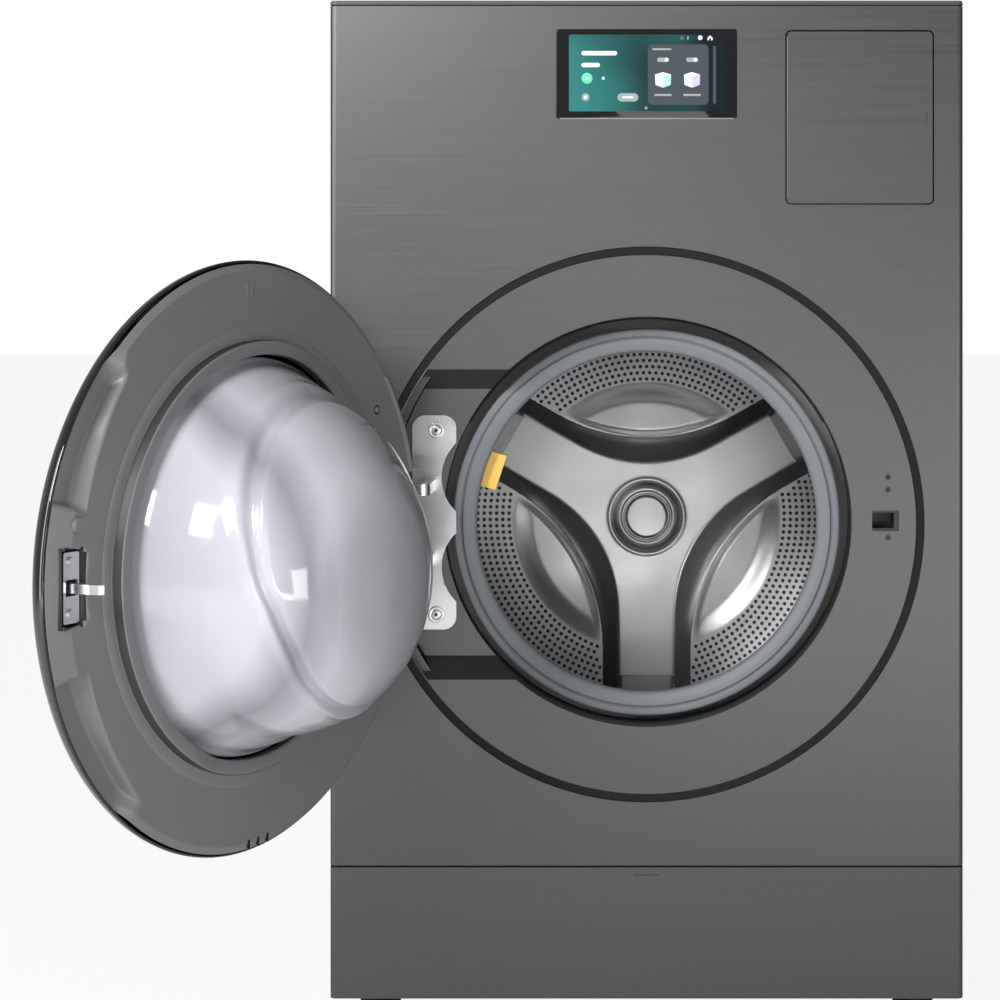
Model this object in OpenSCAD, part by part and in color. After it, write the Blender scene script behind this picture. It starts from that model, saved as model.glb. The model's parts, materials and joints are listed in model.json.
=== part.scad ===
// Front-loading washer-dryer in a tall cabinet: one drum with a round glass door, a heat-pump
// drying unit above the drum, a filter door, a touch display and a dosing drawer at the bottom.
// Millimetres. The origin is on the floor under the front left foot, and -Y points at the user.
// Modules draw round the middle of the front panel's face, and placed() moves them to the origin.

/* [Cabinet] */
// Width of the cabinet
body_w = 686; // [672:1:840]
// Height from the floor to the top
total_h = 1110; // [1100:1:1340]
// Depth from the front panel to the back edge
body_d = 750; // [742:1:910]
// Height of the levelling feet under the cabinet
foot_h = 30; // [22:1:40]
// Radius of the upright cabinet edges
edge_r = 7; // [4:0.5:12]
// Thickness of the steel sheet
sheet = 1.2; // [0.8:0.1:1.6]
// Seam between neighbouring outer panels
seam = 2; // [1.5:0.1:3]
// Depth of the front panel's side returns
return_d = 24; // [18:1:32]

// Distance from the cabinet's sides to the feet's centres
foot_inset = 46; // [40:1:60]
// Distance from the front panel to the front feet's centres
foot_back = 70; // [60:1:90]

/* [Door] */
// Outer radius of the door
door_r = 280; // [233:1:296]
// Thickness of the door from its front glass to its inner trim
door_t = 43; // [38:1:50]
// Gap between the closed door's trim and the front panel
door_gap = 7; // [5:0.5:10]
// Width of the flat trim between the door's rim and the glass bowl
trim_w = 91; // [84:1:98]
// Flat rim of the seat that shows round the closed door
seat_margin = 11.5; // [6:0.5:14]
// How far the glass bowl reaches into the drum
bowl_depth = 152; // [120:1:170]
// Wall of the glass bowl
bowl_wall = 5; // [4:0.5:7]
// Angle at which the door stands open
door_open = 116.5; // [60:0.5:124]
// Height of the door's centre above the drawer's top edge
door_rise = 371; // [360:1:410]
// Width of the groove round the door seat
groove_w = 9.5; // [7:0.5:12]
// Depth of the groove round the door seat
groove_d = 9; // [7:0.5:12]
// Depth of the recess for the hinge
pocket_d = 24; // [20:1:28]

/* [Drum and tub] */
// Backward tilt of the drum in degrees
drum_tilt = 5.5; // [3:0.5:6.5]
// Outer radius of the tub
tub_r = 308; // [257:1:312]
// Wall of the tub
tub_wall = 5; // [4:0.5:7]
// Gap between the drum and the tub
drum_gap = 17; // [13:1:22]
// Length of the drum
drum_len = 470; // [400:1:480]
// Sheet thickness of the drum
drum_wall = 1.5; // [1:0.1:2]
// Height of the three lifters
lifter_h = 71; // [58:1:82]
// Width of one star arm on the drum's back
arm_w = 78; // [64:1:90]
// Height of the star on the drum's back
star_h = 36; // [28:1:44]
// Radius of the curves that run from arm to arm
arm_curve = 189; // [160:1:220]
// Radius of the round cap at the star's middle
cap_r = 35; // [30:1:42]
// Radius of a hole in the drum's back
hole_r = 2.5; // [2:0.1:3]
// Distance between the holes in the drum's back
hole_pitch = 8.4; // [8:0.1:11]

/* [Display and filter door] */
// Width of the display glass
display_w = 196; // [160:1:236]
// Height of the display glass
display_h = 97; // [80:1:118]
// Width of the filter door
filter_w = 161; // [134:1:194]
// Height of the filter door
filter_h = 189; // [160:1:200]
// Distance from the cabinet's top and right edge to the filter door
filter_margin = 32; // [28:1:38]
// Distance from the cabinet's top to the display
display_margin = 31; // [26:1:40]

/* [Drawer] */
// Height of the drawer front
drawer_h = 142; // [134:1:172]
// Length of the drawer box
drawer_len = 330; // [275:1:345]
// Wall of the drawer box and its tanks
tank_wall = 3; // [2.5:0.5:4]

/* [Hidden] */
$fn = 96;
hw = body_w / 2;
cab_z0 = foot_h;
cover_t = 4.5;
wall_top = total_h - cover_t - seam + 0.5;
drawer_top = cab_z0 + drawer_h;
front_z0 = drawer_top + seam;
door_z = drawer_top + door_rise;
mouth_rise = 3;
fit = 0.3;

// Door chain, from the rim inwards to the gasket and the mouth
bowl_r = door_r - trim_w;
seal_in = bowl_r - 2;
seal_out = seal_in + 26;
mouth_r = seal_out + 9;
seat_r = door_r + seat_margin;
ring_r = seat_r + groove_w;
door_back = -door_gap;
door_front = -door_gap - door_t;
disc_back = door_back - 8;
hinge_x = -door_r + 14;
hinge_y = door_back - 18;
hinge_z = door_z;
slot_half = 62;
arm_z = 40;
arm_t = 12;
pin_r = 4;
plate_h = 0.835 * door_r;
bezel_r = bowl_r + 23;
latch_x = door_r - 31;
lock_x = latch_x + 12;

// Drum chain, along the tilted axis from the pivot behind the gasket
tub_y = 60;
tub_z = door_z - 1.5;
tub_t0 = 66;
drum_r = tub_r - tub_wall - drum_gap;
drum_t0 = tub_t0 + 16;
drum_t1 = drum_t0 + drum_len;
tub_t1 = drum_t1 + 44;
drum_mouth_r = seal_in + 14;
tub_mouth_r = seal_out + 3;
shaft_r = 15;
shaft_t1 = tub_t1 + 66;
rotor_r = 130;

// Lower bay and upper unit
shelf_z = drawer_top + 3;
shelf_len = drawer_len + 60;
filter_x1 = hw - filter_margin;
filter_x0 = filter_x1 - filter_w;
filter_z1 = total_h - filter_margin;
filter_z0 = filter_z1 - filter_h;
panel_gap = 1.6;
display_z1 = total_h - display_margin;
display_z0 = display_z1 - display_h;
unit_z0 = filter_z0 + 2;
unit_top = wall_top - 22;
tank_z0 = cab_z0 + 24;
tank_h = 62;
lid_w = 150;
lid_l = 44;
bay_half = hw - 22;

// Moves the drawn pieces so that the front left foot stands on the origin
module placed() {
    translate([hw - foot_inset, -foot_back, 0])
        children();
}

// Extrudes an outline drawn in X and Z from y0 towards the back by t
module upright(y0, t) {
    translate([0, y0 + t, 0])
        rotate([90, 0, 0])
            linear_extrude(t)
                children();
}

// Turns a profile drawn as radius and depth about the Y axis
module about_y() {
    rotate([-90, 0, 0])
        rotate_extrude()
            children();
}

// Rod along Y
module y_rod(r, y0, y1) {
    translate([0, y0, 0])
        rotate([-90, 0, 0])
            cylinder(h = y1 - y0, r = r);
}

// Ring along Y
module y_ring(r_in, r_out, y0, y1) {
    difference() {
        y_rod(r_out, y0, y1);
        y_rod(r_in, y0 - 1, y1 + 1);
    }
}

// Rectangle with round corners, from one corner to the other
module round_box_2d(x0, z0, x1, z1, r) {
    translate([x0 + r, z0])
        square([x1 - x0 - 2 * r, z1 - z0]);
    translate([x0, z0 + r])
        square([x1 - x0, z1 - z0 - 2 * r]);
    for (x = [x0 + r, x1 - r], z = [z0 + r, z1 - r])
        translate([x, z])
            circle(r);
}

// Places what is drawn round the closed door's centre
module at_door() {
    translate([0, 0, door_z])
        children();
}

// Swings a closed door piece to the open position
module on_door() {
    translate([hinge_x, hinge_y, 0])
        rotate([0, 0, -door_open])
            translate([-hinge_x, -hinge_y, 0])
                children();
}

// Places what is drawn along the tilted drum axis
module on_tub() {
    translate([0, tub_y, tub_z])
        rotate([-drum_tilt, 0, 0])
            children();
}

// Cross-section of a front sheet with rounded upright edges and side returns
module channel_2d(depth, wall) {
    difference() {
        union() {
            translate([-hw + edge_r, 0])
                square([body_w - 2 * edge_r, depth]);
            translate([-hw, edge_r])
                square([body_w, depth - edge_r]);
            for (x = [-hw + edge_r, hw - edge_r])
                translate([x, edge_r])
                    circle(edge_r);
        }
        translate([-hw + edge_r, wall])
            square([body_w - 2 * edge_r, depth + 1]);
        translate([-hw + wall, edge_r])
            square([body_w - 2 * wall, depth + 1]);
        for (x = [-hw + edge_r, hw - edge_r])
            translate([x, edge_r])
                circle(edge_r - wall);
    }
}

module base_pan() color("dimgray") {
    x1 = hw - sheet - fit;
    y0 = return_d + 4;
    y1 = body_d - sheet - fit;
    difference() {
        translate([-x1, y0, cab_z0])
            cube([2 * x1, y1 - y0, 18]);
        translate([-x1 + 2, y0 + 2, cab_z0 + 2])
            cube([2 * x1 - 4, y1 - y0 - 4, 18]);
        for (x = [-hw + foot_inset, hw - foot_inset], y = [foot_back, body_d - 60])
            translate([x, y, cab_z0 - 1])
                cylinder(h = 5, r = 5.3);
    }
}

module feet() color("black") {
    for (x = [-hw + foot_inset, hw - foot_inset], y = [foot_back, body_d - 60])
        translate([x, y, 0]) {
            cylinder(h = 9, r1 = 24, r2 = 21);
            translate([0, 0, 9])
                cylinder(h = 5, r = 12);
            translate([0, 0, 14])
                cylinder(h = cab_z0 + 2, r = 5);
            translate([0, 0, cab_z0 - 6.2])
                cylinder(h = 6, r = 9.8, $fn = 6);
        }
}

// One side sheet with a front flange and a rear flange
module side_sheet() {
    y0 = return_d + seam;
    translate([hw - sheet, y0, cab_z0])
        cube([sheet, body_d - y0, wall_top - cab_z0]);
    translate([hw - 16, y0, cab_z0])
        cube([15, sheet, wall_top - cab_z0 - 14]);
    translate([hw - 22, body_d - sheet, cab_z0])
        cube([21, sheet, wall_top - cab_z0]);
}

module left_side_panel() color("gray")
    mirror([1, 0, 0])
        side_sheet();

module right_side_panel() color("gray")
    side_sheet();

module rear_panel() color("slategray") {
    difference() {
        translate([-hw + 4, body_d - 2 * sheet, cab_z0 + 20])
            cube([body_w - 8, sheet, wall_top - cab_z0 - 22]);
        translate([0, 0, door_z - 50])
            y_rod(150, body_d - 10, body_d + 10);
        for (x = valve_xs())
            translate([x, 0, total_h - 90])
                y_rod(16.5, body_d - 10, body_d + 10);
        translate([-hw + 70, 0, 150])
            y_rod(14, body_d - 10, body_d + 10);
        upright(body_d - 10, 20)
            round_box_2d(hw - 110, total_h - 118, hw - 60, total_h - 82, 3);
        for (i = [0:9])
            upright(body_d - 10, 20)
                round_box_2d(-60, total_h - 60 - 9 * i, 60, total_h - 56 - 9 * i, 1.9);
    }
}

module rear_cover() color("darkslategray") {
    translate([0, 0, door_z - 50])
        difference() {
            y_rod(166, body_d - sheet, body_d + 1.5);
            y_rod(147, body_d - sheet - 1, body_d - 0.4);
            for (i = [-3:3])
                upright(body_d - 10, 20)
                    round_box_2d(-70, 15 * i - 3, 70, 15 * i + 3, 2.9);
        }
}

module top_cover() color("gray") {
    translate([0, 0, total_h - cover_t])
        linear_extrude(cover_t - 1.2)
            round_box_2d(-hw, 0, hw, body_d, edge_r);
    translate([0, 0, total_h - 1.3])
        linear_extrude(1.3)
            round_box_2d(-hw + 1, 1, hw - 1, body_d - 1, edge_r - 1);
    difference() {
        translate([-hw + 4, 4, total_h - cover_t - 12])
            cube([body_w - 8, body_d - 10, 12.2]);
        translate([-hw + 6, 6, total_h - cover_t - 13])
            cube([body_w - 12, body_d - 14, 13]);
    }
}

module front_panel() color("gray") {
    difference() {
        union() {
            translate([0, 0, front_z0])
                linear_extrude(wall_top - front_z0)
                    channel_2d(return_d, sheet);
            at_door()
                y_rod(ring_r + sheet, 0.4, groove_d + sheet);
            translate([-hw + 10, 0.5, front_z0])
                cube([body_w - 20, 14, sheet]);
        }
        at_door() {
            y_rod(ring_r, -1, groove_d);
            y_rod(seat_r - 8, -1, groove_d + 9);
        }
        upright(-5, 20)
            round_box_2d(-display_w / 2, display_z0, display_w / 2, display_z1, 3);
        upright(-5, 20)
            round_box_2d(filter_x0, filter_z0, filter_x1, filter_z1, 6);
    }
    difference() {
        upright(0.4, 12)
            round_box_2d(filter_x0 - sheet, filter_z0 - sheet, filter_x1 + sheet,
                filter_z1 + sheet, 7);
        upright(0, 11.4)
            round_box_2d(filter_x0, filter_z0, filter_x1, filter_z1, 6);
        upright(0, 20)
            round_box_2d(filter_x0 + 6, filter_z0 + 6, filter_x1 - 6, filter_z1 - 6, 4);
    }
}

// The seat ring inside the groove, with the drum mouth and the recess for the hinge
module door_seat() color("dimgray") {
    half = 0.56 * door_r;
    left = seat_r - 16;
    difference() {
        at_door() {
            difference() {
                y_rod(seat_r, 0, groove_d);
                y_rod(seat_r - 1.6, 1.6, groove_d + 1);
            }
            intersection() {
                union() {
                    y_rod(seat_r - 1, 0.2, groove_d - 0.1);
                    y_rod(seat_r - 8.6, groove_d - 0.2, pocket_d + 1.6);
                }
                rotate([0, -90, 0])
                    rotate([0, 0, 90])
                        translate([0, 0, 100])
                            linear_extrude(left - 98.4)
                                pocket_2d(half, 1.6);
            }
            translate([0, 0, mouth_rise])
                y_rod(mouth_r + 1.6, 0.2, 44);
        }
        at_door()
            rotate([0, -90, 0])
                rotate([0, 0, 90])
                    translate([0, 0, 98])
                        linear_extrude(left - 98)
                            pocket_2d(half, 0);
        at_door()
            translate([0, 0, mouth_rise])
                y_rod(mouth_r, -1, 46);
        at_door() {
            translate([lock_x, 0, 4])
                upright(-1, 20)
                    round_box_2d(-17, -11, 12, 11, 1);
            for (z = [51.4, 37.8, -14])
                translate([lock_x, 0, z])
                    y_rod(2.2, -1, 3);
        }
    }
}

// Outline of the hinge recess in depth and height, grown by a wall
module pocket_2d(half, wall) {
    polygon([[-1 - wall, half + 12 + wall], [pocket_d + wall, half - 11 + wall],
        [pocket_d + wall, -half + 11 - wall], [-1 - wall, -half - 12 - wall]]);
}

// Shelf over the drawer bay with its two posts and the rail behind the display
module inner_frame() color("dimgray") {
    x1 = hw - sheet - fit;
    difference() {
        translate([-x1, return_d + 4, shelf_z])
            cube([2 * x1, shelf_len, 14]);
        translate([-x1 + 1.5, return_d + 3, shelf_z + 1.5])
            cube([2 * x1 - 3, shelf_len - 1, 14]);
    }
    for (s = [-1, 1])
        translate([s * (x1 - 8) - 7.7, return_d + 4, cab_z0 + 18])
            cube([15.4, 14, shelf_z - cab_z0 - 17.9]);
    translate([-hw + 20, return_d + 4, wall_top - 14])
        cube([body_w - 40, 12, 12]);
}

module drawer_rails() color("silver") {
    for (s = [0, 1])
        mirror([s, 0, 0]) {
            translate([bay_half - 3, return_d + 26, cab_z0 + 2.1])
                cube([3, drawer_len - 4, tank_z0 - cab_z0 + 44]);
            translate([bay_half - 12, return_d + 26, tank_z0 + 34])
                cube([9.1, drawer_len - 4, 3]);
        }
}

module door_gasket() color("steelblue") {
    translate([0, 0, tub_z])
        about_y()
            polygon([[seal_in, 44], [seal_in + 1.5, 40], [seal_in + 16, 37],
                [seal_in + 17, 38.5], [seal_in + 18.5, 37], [seal_out, 37],
                [seal_out, 74], [seal_out - 4, 74], [seal_out - 4, 56], [seal_in + 3, 56]]);
    on_tub()
        about_y()
            polygon([[seal_out - 4.5, 4], [seal_out - 0.5, 4], [seal_out - 0.5, 60],
                [tub_mouth_r - 0.4, 60], [tub_mouth_r - 0.4, tub_t0 + 6],
                [seal_out - 10, tub_t0 + 6], [seal_out - 10, 61], [seal_out - 4.5, 57]]);
}

module gasket_band() color("silver") {
    on_tub()
        y_ring(seal_out - 0.5, seal_out + 1, 47, 56);
}

module drum_lamp() color("gold") {
    translate([0, 0, tub_z])
        rotate([0, -162, 0])
            difference() {
                translate([seal_in - 17, 56, -20])
                    cube([20, 11, 40]);
                translate([seal_in - 19, 55, -16])
                    rotate([0, 0, 45])
                        cube([6, 6, 32]);
            }
}

module door_lock() color("black") {
    at_door()
        translate([lock_x, 0, 4])
            difference() {
                upright(1.9, 34)
                    round_box_2d(-23, -45, 12, 45, 3);
                upright(-1, 32)
                    round_box_2d(-18, -8.5, 7, 8.5, 1);
            }
}

module seat_screws() color("silver") {
    at_door() {
        for (z = [51.4, 37.8, -14])
            translate([lock_x, 0, z]) {
                y_rod(4, -1.2, -0.1);
                y_rod(2, -0.2, 1.8);
            }
        for (z = [0.43, -0.43])
            translate([plate_x() + 4, 0, z * plate_h]) {
                y_rod(9, pocket_d - 5.6, pocket_d - 3.2);
                y_rod(4, pocket_d - 3.4, pocket_d - 0.1);
            }
    }
}

function plate_x() = -mouth_r - 12;
function valve_xs() = [-hw + 70, -hw + 130];

module hinge_plate() color("lightgray") {
    at_door()
        difference() {
            union() {
                upright(pocket_d - 3, 2.9)
                    round_box_2d(plate_x() - 22, -plate_h / 2, plate_x() + 26, plate_h / 2, 14);
            }
            for (z = [0.43, -0.43])
                translate([plate_x() + 4, 0, z * plate_h])
                    y_rod(4.3, 0, pocket_d + 9);
            for (z = [0.21, -0.21])
                translate([plate_x() + 62, 0, z * plate_h])
                    y_rod(52, 0, pocket_d + 9);
        }
}

// Two curved arms that carry the hinge pins in front of the seat
module hinge_arms() color("lightgray") {
    for (z = [arm_z, -arm_z])
        translate([0, 0, door_z + z - arm_t / 2])
            difference() {
                linear_extrude(arm_t)
                    hinge_arm_2d();
                translate([hinge_x, hinge_y, -1])
                    cylinder(h = arm_t + 2, r = pin_r + 0.05);
            }
}

module hinge_arm_2d() {
    x1 = plate_x() + 2;
    translate([hinge_x, hinge_y])
        circle(7.5);
    translate([hinge_x, hinge_y - 5])
        square([x1 - hinge_x - 9, 10]);
    difference() {
        translate([x1 - 9, hinge_y + 4])
            circle(9);
        translate([x1 - 19, hinge_y + 5])
            square([10, 9]);
    }
    translate([x1 - 9, hinge_y + 4])
        square([9, pocket_d - 3.1 - hinge_y - 4]);
}

module hinge_pins() color("silver") {
    for (z = [arm_z, -arm_z])
        translate([hinge_x, hinge_y, door_z + z - arm_t / 2 - 9])
            cylinder(h = arm_t + 18, r = pin_r);
}

// Glossy rim ring that carries the front glass
module door_rim() color("black") {
    on_door()
        at_door()
            difference() {
                about_y()
                    polygon([[door_r - 34, door_front + 4], [door_r - 34, door_front + 1.5],
                        [door_r - 14, door_front], [door_r - 6, door_front + 2],
                        [door_r - 1.5, door_front + 7], [door_r, door_front + 14],
                        [door_r, disc_back - 1.5], [door_r - 1.5, disc_back],
                        [door_r - 5, disc_back], [door_r - 5, door_front + 14],
                        [door_r - 9, door_front + 8], [door_r - 16, door_front + 5],
                        [door_r - 26, door_front + 5], [door_r - 26, door_front + 9],
                        [door_r - 34, door_front + 9]]);
                translate([-door_r - 5, hinge_y - 13, -slot_half])
                    cube([26, 60, 2 * slot_half]);
            }
}

module door_glass() color("dimgray") {
    on_door()
        at_door()
            y_rod(door_r - 34.4, door_front + 1, door_front + 5);
}

// Inner trim ring with two finger grips, the latch recess and the hinge slot
module door_trim() color("gray") {
    on_door()
        at_door()
            difference() {
                about_y()
                    polygon([[bowl_r + 6.3, door_back - 2.5], [bowl_r + 6.3, door_back - 8],
                        [bowl_r - 6, door_back - 8], [bowl_r - 6, door_back - 10.5],
                        [bowl_r + 9, door_back - 10.5], [bowl_r + 9, door_back - 3],
                        [door_r - 14, door_back - 3], [door_r - 8.5, door_back - 8],
                        [door_r - 8.5, door_front + 16], [door_r - 5.6, door_front + 16],
                        [door_r - 5.6, door_back - 7], [door_r - 3, door_back - 7],
                        [door_r - 3, door_back - 5], [door_r - 10, door_back],
                        [bowl_r + 8, door_back], [bowl_r + 6.3, door_back]]);
                translate([-door_r - 5, hinge_y - 13, -slot_half])
                    cube([26, 60, 2 * slot_half]);
                translate([hinge_x - 26, hinge_y - 13, -slot_half])
                    cube([72, 60, 2 * slot_half]);
                for (a = [34, -34])
                    rotate([0, -a, 0])
                        translate([door_r - 22, door_back - 30, -62])
                            cube([40, 40, 124]);
                translate([latch_x, 0, 0])
                    upright(door_back - 20, 30)
                        round_box_2d(-13, -36, 15, 36, 3);
                for (i = [-1:1])
                    rotate([0, 90 + 3 * i, 0])
                        translate([door_r - 18, 0, 0])
                            upright(door_back - 20, 30)
                                round_box_2d(-5, -1.4, 5, 1.4, 1.3);
            }
    on_door()
        at_door()
            intersection() {
                y_rod(door_r - 5.7, door_back - 30, door_back + 1);
                for (a = [34, -34])
                    rotate([0, -a, 0])
                        grip_cup();
            }
}

// Sunk floor of one finger grip
module grip_cup() {
    translate([door_r - 24, door_back - 22, -62])
        cube([2.2, 21, 124]);
    translate([door_r - 24, door_back - 22, -62])
        cube([17, 2.2, 124]);
    for (z = [-64, 61.8])
        translate([door_r - 24, door_back - 22, z])
            cube([15, 18, 2.2]);
}

// Half profile of the bowl as radius and depth, from the flange to the nose
function bowl_outer(k) = [[bowl_r + 6, 0], [bowl_r + 6, 4], [bowl_r - 3, 5], [bowl_r - 7, 13],
    [bowl_r - 12, 26 * k], [bowl_r - 22, 50 * k], [bowl_r - 33, 76 * k], [bowl_r - 43, 98 * k],
    [bowl_r - 50, 103 * k], [bowl_r - 54, 109 * k], [bowl_r - 65, 122 * k],
    [bowl_r - 79, 134 * k], [bowl_r - 97, 144 * k], [bowl_r - 126, 150 * k], [0, 152 * k]];

module glass_bowl() color("lavender") {
    k = bowl_depth / 152;
    outer = bowl_outer(k);
    n = len(outer) - 1;
    inner = [for (i = [n:-1:2]) [max(0, outer[i][0] - (i == n ? 0 : bowl_wall)),
        outer[i][1] - (i > 4 ? bowl_wall : 0.55 * bowl_wall)]];
    on_door()
        at_door()
            translate([0, door_back - 7.8, 0])
                about_y()
                    polygon(concat(outer, inner, [[bowl_r - 9, 0]]));
}

module bowl_bezel() color("gray") {
    on_door()
        at_door()
            about_y()
                polygon([[bowl_r - 1.5, door_back + 0.3], [bezel_r, door_back + 0.05],
                    [bezel_r - 2.5, door_back + 3.5], [bowl_r + 3, door_back + 4],
                    [bowl_r + 0.5, door_back + 3]]);
}

module door_hinge_leaf() color("silver") {
    on_door()
        at_door()
            difference() {
                union() {
                    for (s = [-1, 1], g = [-1, 1])
                        translate([hinge_x, hinge_y, s * arm_z + g * (arm_t / 2 + 4) - 3.5])
                            cylinder(h = 7, r = 7);
                    for (s = [-1, 1], g = [-1, 1])
                        translate([hinge_x - 2, hinge_y - 8.3, s * arm_z + g * (arm_t / 2 + 4) - 3.5])
                            cube([14, 14, 7]);
                }
                translate([hinge_x, hinge_y, -80])
                    cylinder(h = 160, r = pin_r + 0.05);
            }
    on_door()
        at_door()
            translate([hinge_x + 2, door_front + 9.05, -slot_half + 6])
                cube([52, hinge_y - 8.2 - door_front - 9.05, 2 * slot_half - 12]);
}

module latch_plate() color("silver") {
    on_door()
        at_door()
            translate([latch_x, 0, 0])
                difference() {
                    union() {
                        upright(door_back - 6, 2.5)
                            round_box_2d(-9, -30, 10, 30, 2);
                        for (z = [-11, 8])
                            translate([-6, door_back - 19, z])
                                cube([12, 15, 3]);
                    }
                    upright(door_back - 6.5, 20)
                        round_box_2d(-7, -7, 7, 7, 1);
                    translate([0, door_back - 14, -20])
                        cylinder(h = 40, r = 2.45);
                    for (z = [-22, 22])
                        translate([1, 0, z])
                            y_rod(2.6, door_back - 12, door_back);
                }
}

module latch_hook() color("silver") {
    on_door()
        at_door()
            translate([latch_x, 0, 0]) {
                translate([-4, 0, -4])
                    linear_extrude(8)
                        polygon([[0, door_back - 14], [8, door_back - 14], [8, 12], [6, 20],
                            [3, 24], [-0.5, 20], [-0.5, 17], [2, 15], [1, 8]]);
                translate([0, door_back - 14, -4])
                    cylinder(h = 8, r = 5);
                translate([0, door_back - 14, -11])
                    cylinder(h = 22, r = 2.4);
            }
}

module door_screws() color("silver") {
    on_door()
        at_door() {
            for (z = [-22, 22])
                translate([latch_x + 1, 0, z]) {
                    y_rod(4.2, door_back - 3.4, door_back - 1.4);
                    y_rod(2.2, door_back - 12, door_back - 3.2);
                }
        }
}

module door_pusher() color("dimgray") {
    on_door()
        at_door()
            translate([latch_x - 2, 0, 52])
                y_rod(6.5, door_back + 0.05, door_back + 5);
}

module drum_shell() color("lightsteelblue") {
    on_tub()
        difference() {
            about_y()
                polygon([[drum_mouth_r, drum_t0], [drum_mouth_r + 5, drum_t0 - 3],
                    [drum_mouth_r + 8, drum_t0], [drum_r - 22, drum_t0 + 10],
                    [drum_r - 2, drum_t0 + 20], [drum_r, drum_t0 + 30], [drum_r, drum_t1],
                    [drum_r - drum_wall, drum_t1], [drum_r - drum_wall, drum_t0 + 31],
                    [drum_r - 4, drum_t0 + 22], [drum_r - 23, drum_t0 + 12],
                    [drum_mouth_r, drum_t0 + 2.5]]);
            for (i = [0:2], j = [-2:2], k = [0:5])
                rotate([0, 120 * i + 60 + 15 * j, 0])
                    translate([0, drum_t0 + 60 + 65 * k, drum_r - 10])
                        cylinder(h = 20, r = 4);
        }
}

module drum_back() color("silver") {
    rows = 7;
    on_tub()
        upright(drum_t1 - 2.1, 2)
            difference() {
                circle(drum_r - drum_wall - 0.05);
                circle(shaft_r + 0.05);
                for (i = [0:2])
                    rotate(90 + 120 * i)
                        for (k = [0:rows - 1]) {
                            r = 0.665 * drum_r + k * hole_pitch;
                            step = hole_pitch / r * 57.3;
                            half = 60 - asin((arm_w / 2 + 38 + hole_r) / r);
                            n = floor(half / step);
                            for (j = [-n:n - (k % 2)])
                                rotate((j + 0.5 * (k % 2)) * step)
                                    translate([r, 0])
                                        circle(hole_r, $fn = 16);
                        }
            }
}

// One field between the arms as a tool that narrows towards the drum's back
module field_tool() {
    h = star_h + 2;
    r_front = arm_curve;
    r_back = arm_curve - star_h + 1;
    reach = (r_front + arm_w / 2) / sin(60);
    lean = atan((r_front - r_back) / h);
    far = 1.3 * drum_r;
    translate([reach, 0, 0])
        cylinder(h = h, r1 = r_back, r2 = r_front);
    translate([reach, 0, 0])
        intersection() {
            rotate([0, 0, 60])
                translate([0, r_back - 0.2, 0])
                    rotate([-lean, 0, 0])
                        translate([-far, -2 * far, -20])
                            cube([3 * far, 2 * far, h + 40]);
            rotate([0, 0, -60])
                translate([0, -r_back + 0.2, 0])
                    rotate([lean, 0, 0])
                        translate([-far, 0, -20])
                            cube([3 * far, 2 * far, h + 40]);
            translate([-0.866 * r_back, 0, 0])
                rotate([0, -atan(0.866 * tan(lean)), 0])
                    translate([0, -2 * far, -20])
                        cube([far, 4 * far, h + 40]);
            translate([-far, -2 * far, 0])
                cube([3 * far, 4 * far, h]);
        }
}

module drum_star() color("silver") {
    edge = drum_r - drum_wall - 0.3;
    on_tub()
        translate([0, drum_t1 - 2.1, 0])
            rotate([90, 0, 0]) {
                difference() {
                    cylinder(h = star_h, r = edge);
                    for (i = [0:2])
                        rotate([0, 0, 90 + 120 * i])
                            translate([0, 0, -1])
                                field_tool();
                    translate([0, 0, star_h - 5])
                        cylinder(h = 10, r = cap_r + 0.3);
                }
                for (i = [0:2])
                    rotate([0, 0, 90 + 120 * i])
                        intersection() {
                            translate([0.5 * drum_r, 0, -592])
                                sphere(r = 600);
                            linear_extrude(20)
                                intersection() {
                                    circle(0.665 * drum_r - 7);
                                    translate([(arm_curve + arm_w / 2) / sin(60), 0])
                                        circle(arm_curve - star_h - 2);
                                }
                        }
            }
}

module star_cap() color("gray") {
    on_tub()
        translate([0, drum_t1 - star_h + 2.9, 0])
            rotate([90, 0, 0]) {
                cylinder(h = 5, r = cap_r);
                translate([0, 0, 5])
                    cylinder(h = 3, r1 = cap_r - 4, r2 = cap_r - 6);
            }
}

module lifters() color("darkslategray") {
    edge = drum_r - drum_wall - 0.3;
    on_tub()
        for (i = [0:2])
            rotate([0, 120 * i, 0])
                intersection() {
                    y_rod(edge, drum_t0 + 34, drum_t1 - star_h - 3);
                    difference() {
                        lifter_bar(0);
                        lifter_bar(3);
                    }
                }
}

// One lifter along the drum's wall, shrunk by a wall
module lifter_bar(w) {
    edge = drum_r - drum_wall - 0.3;
    top = arm_w / 2 - 2 - w;
    foot = arm_w / 2 + 16 - w;
    translate([0, drum_t0 + 34 + w, 0])
        rotate([-90, 0, 0])
            linear_extrude(drum_len - star_h - 37 - 2 * w)
                polygon([[-foot, edge + 5], [foot, edge + 5], [top + 4, edge - lifter_h + 12 + w],
                    [top, edge - lifter_h + w], [-top, edge - lifter_h + w],
                    [-top - 4, edge - lifter_h + 12 + w]]);
}

module drum_shaft() color("silver") {
    on_tub() {
        y_rod(shaft_r, drum_t1 - 2, shaft_t1);
        for (i = [0:2])
            rotate([0, 120 * i, 0])
                translate([-14, drum_t1 + 0.2, -drum_r + 12])
                    cube([28, 18, drum_r - 16]);
        y_rod(46, drum_t1 + 0.2, drum_t1 + 22);
    }
}

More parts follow.
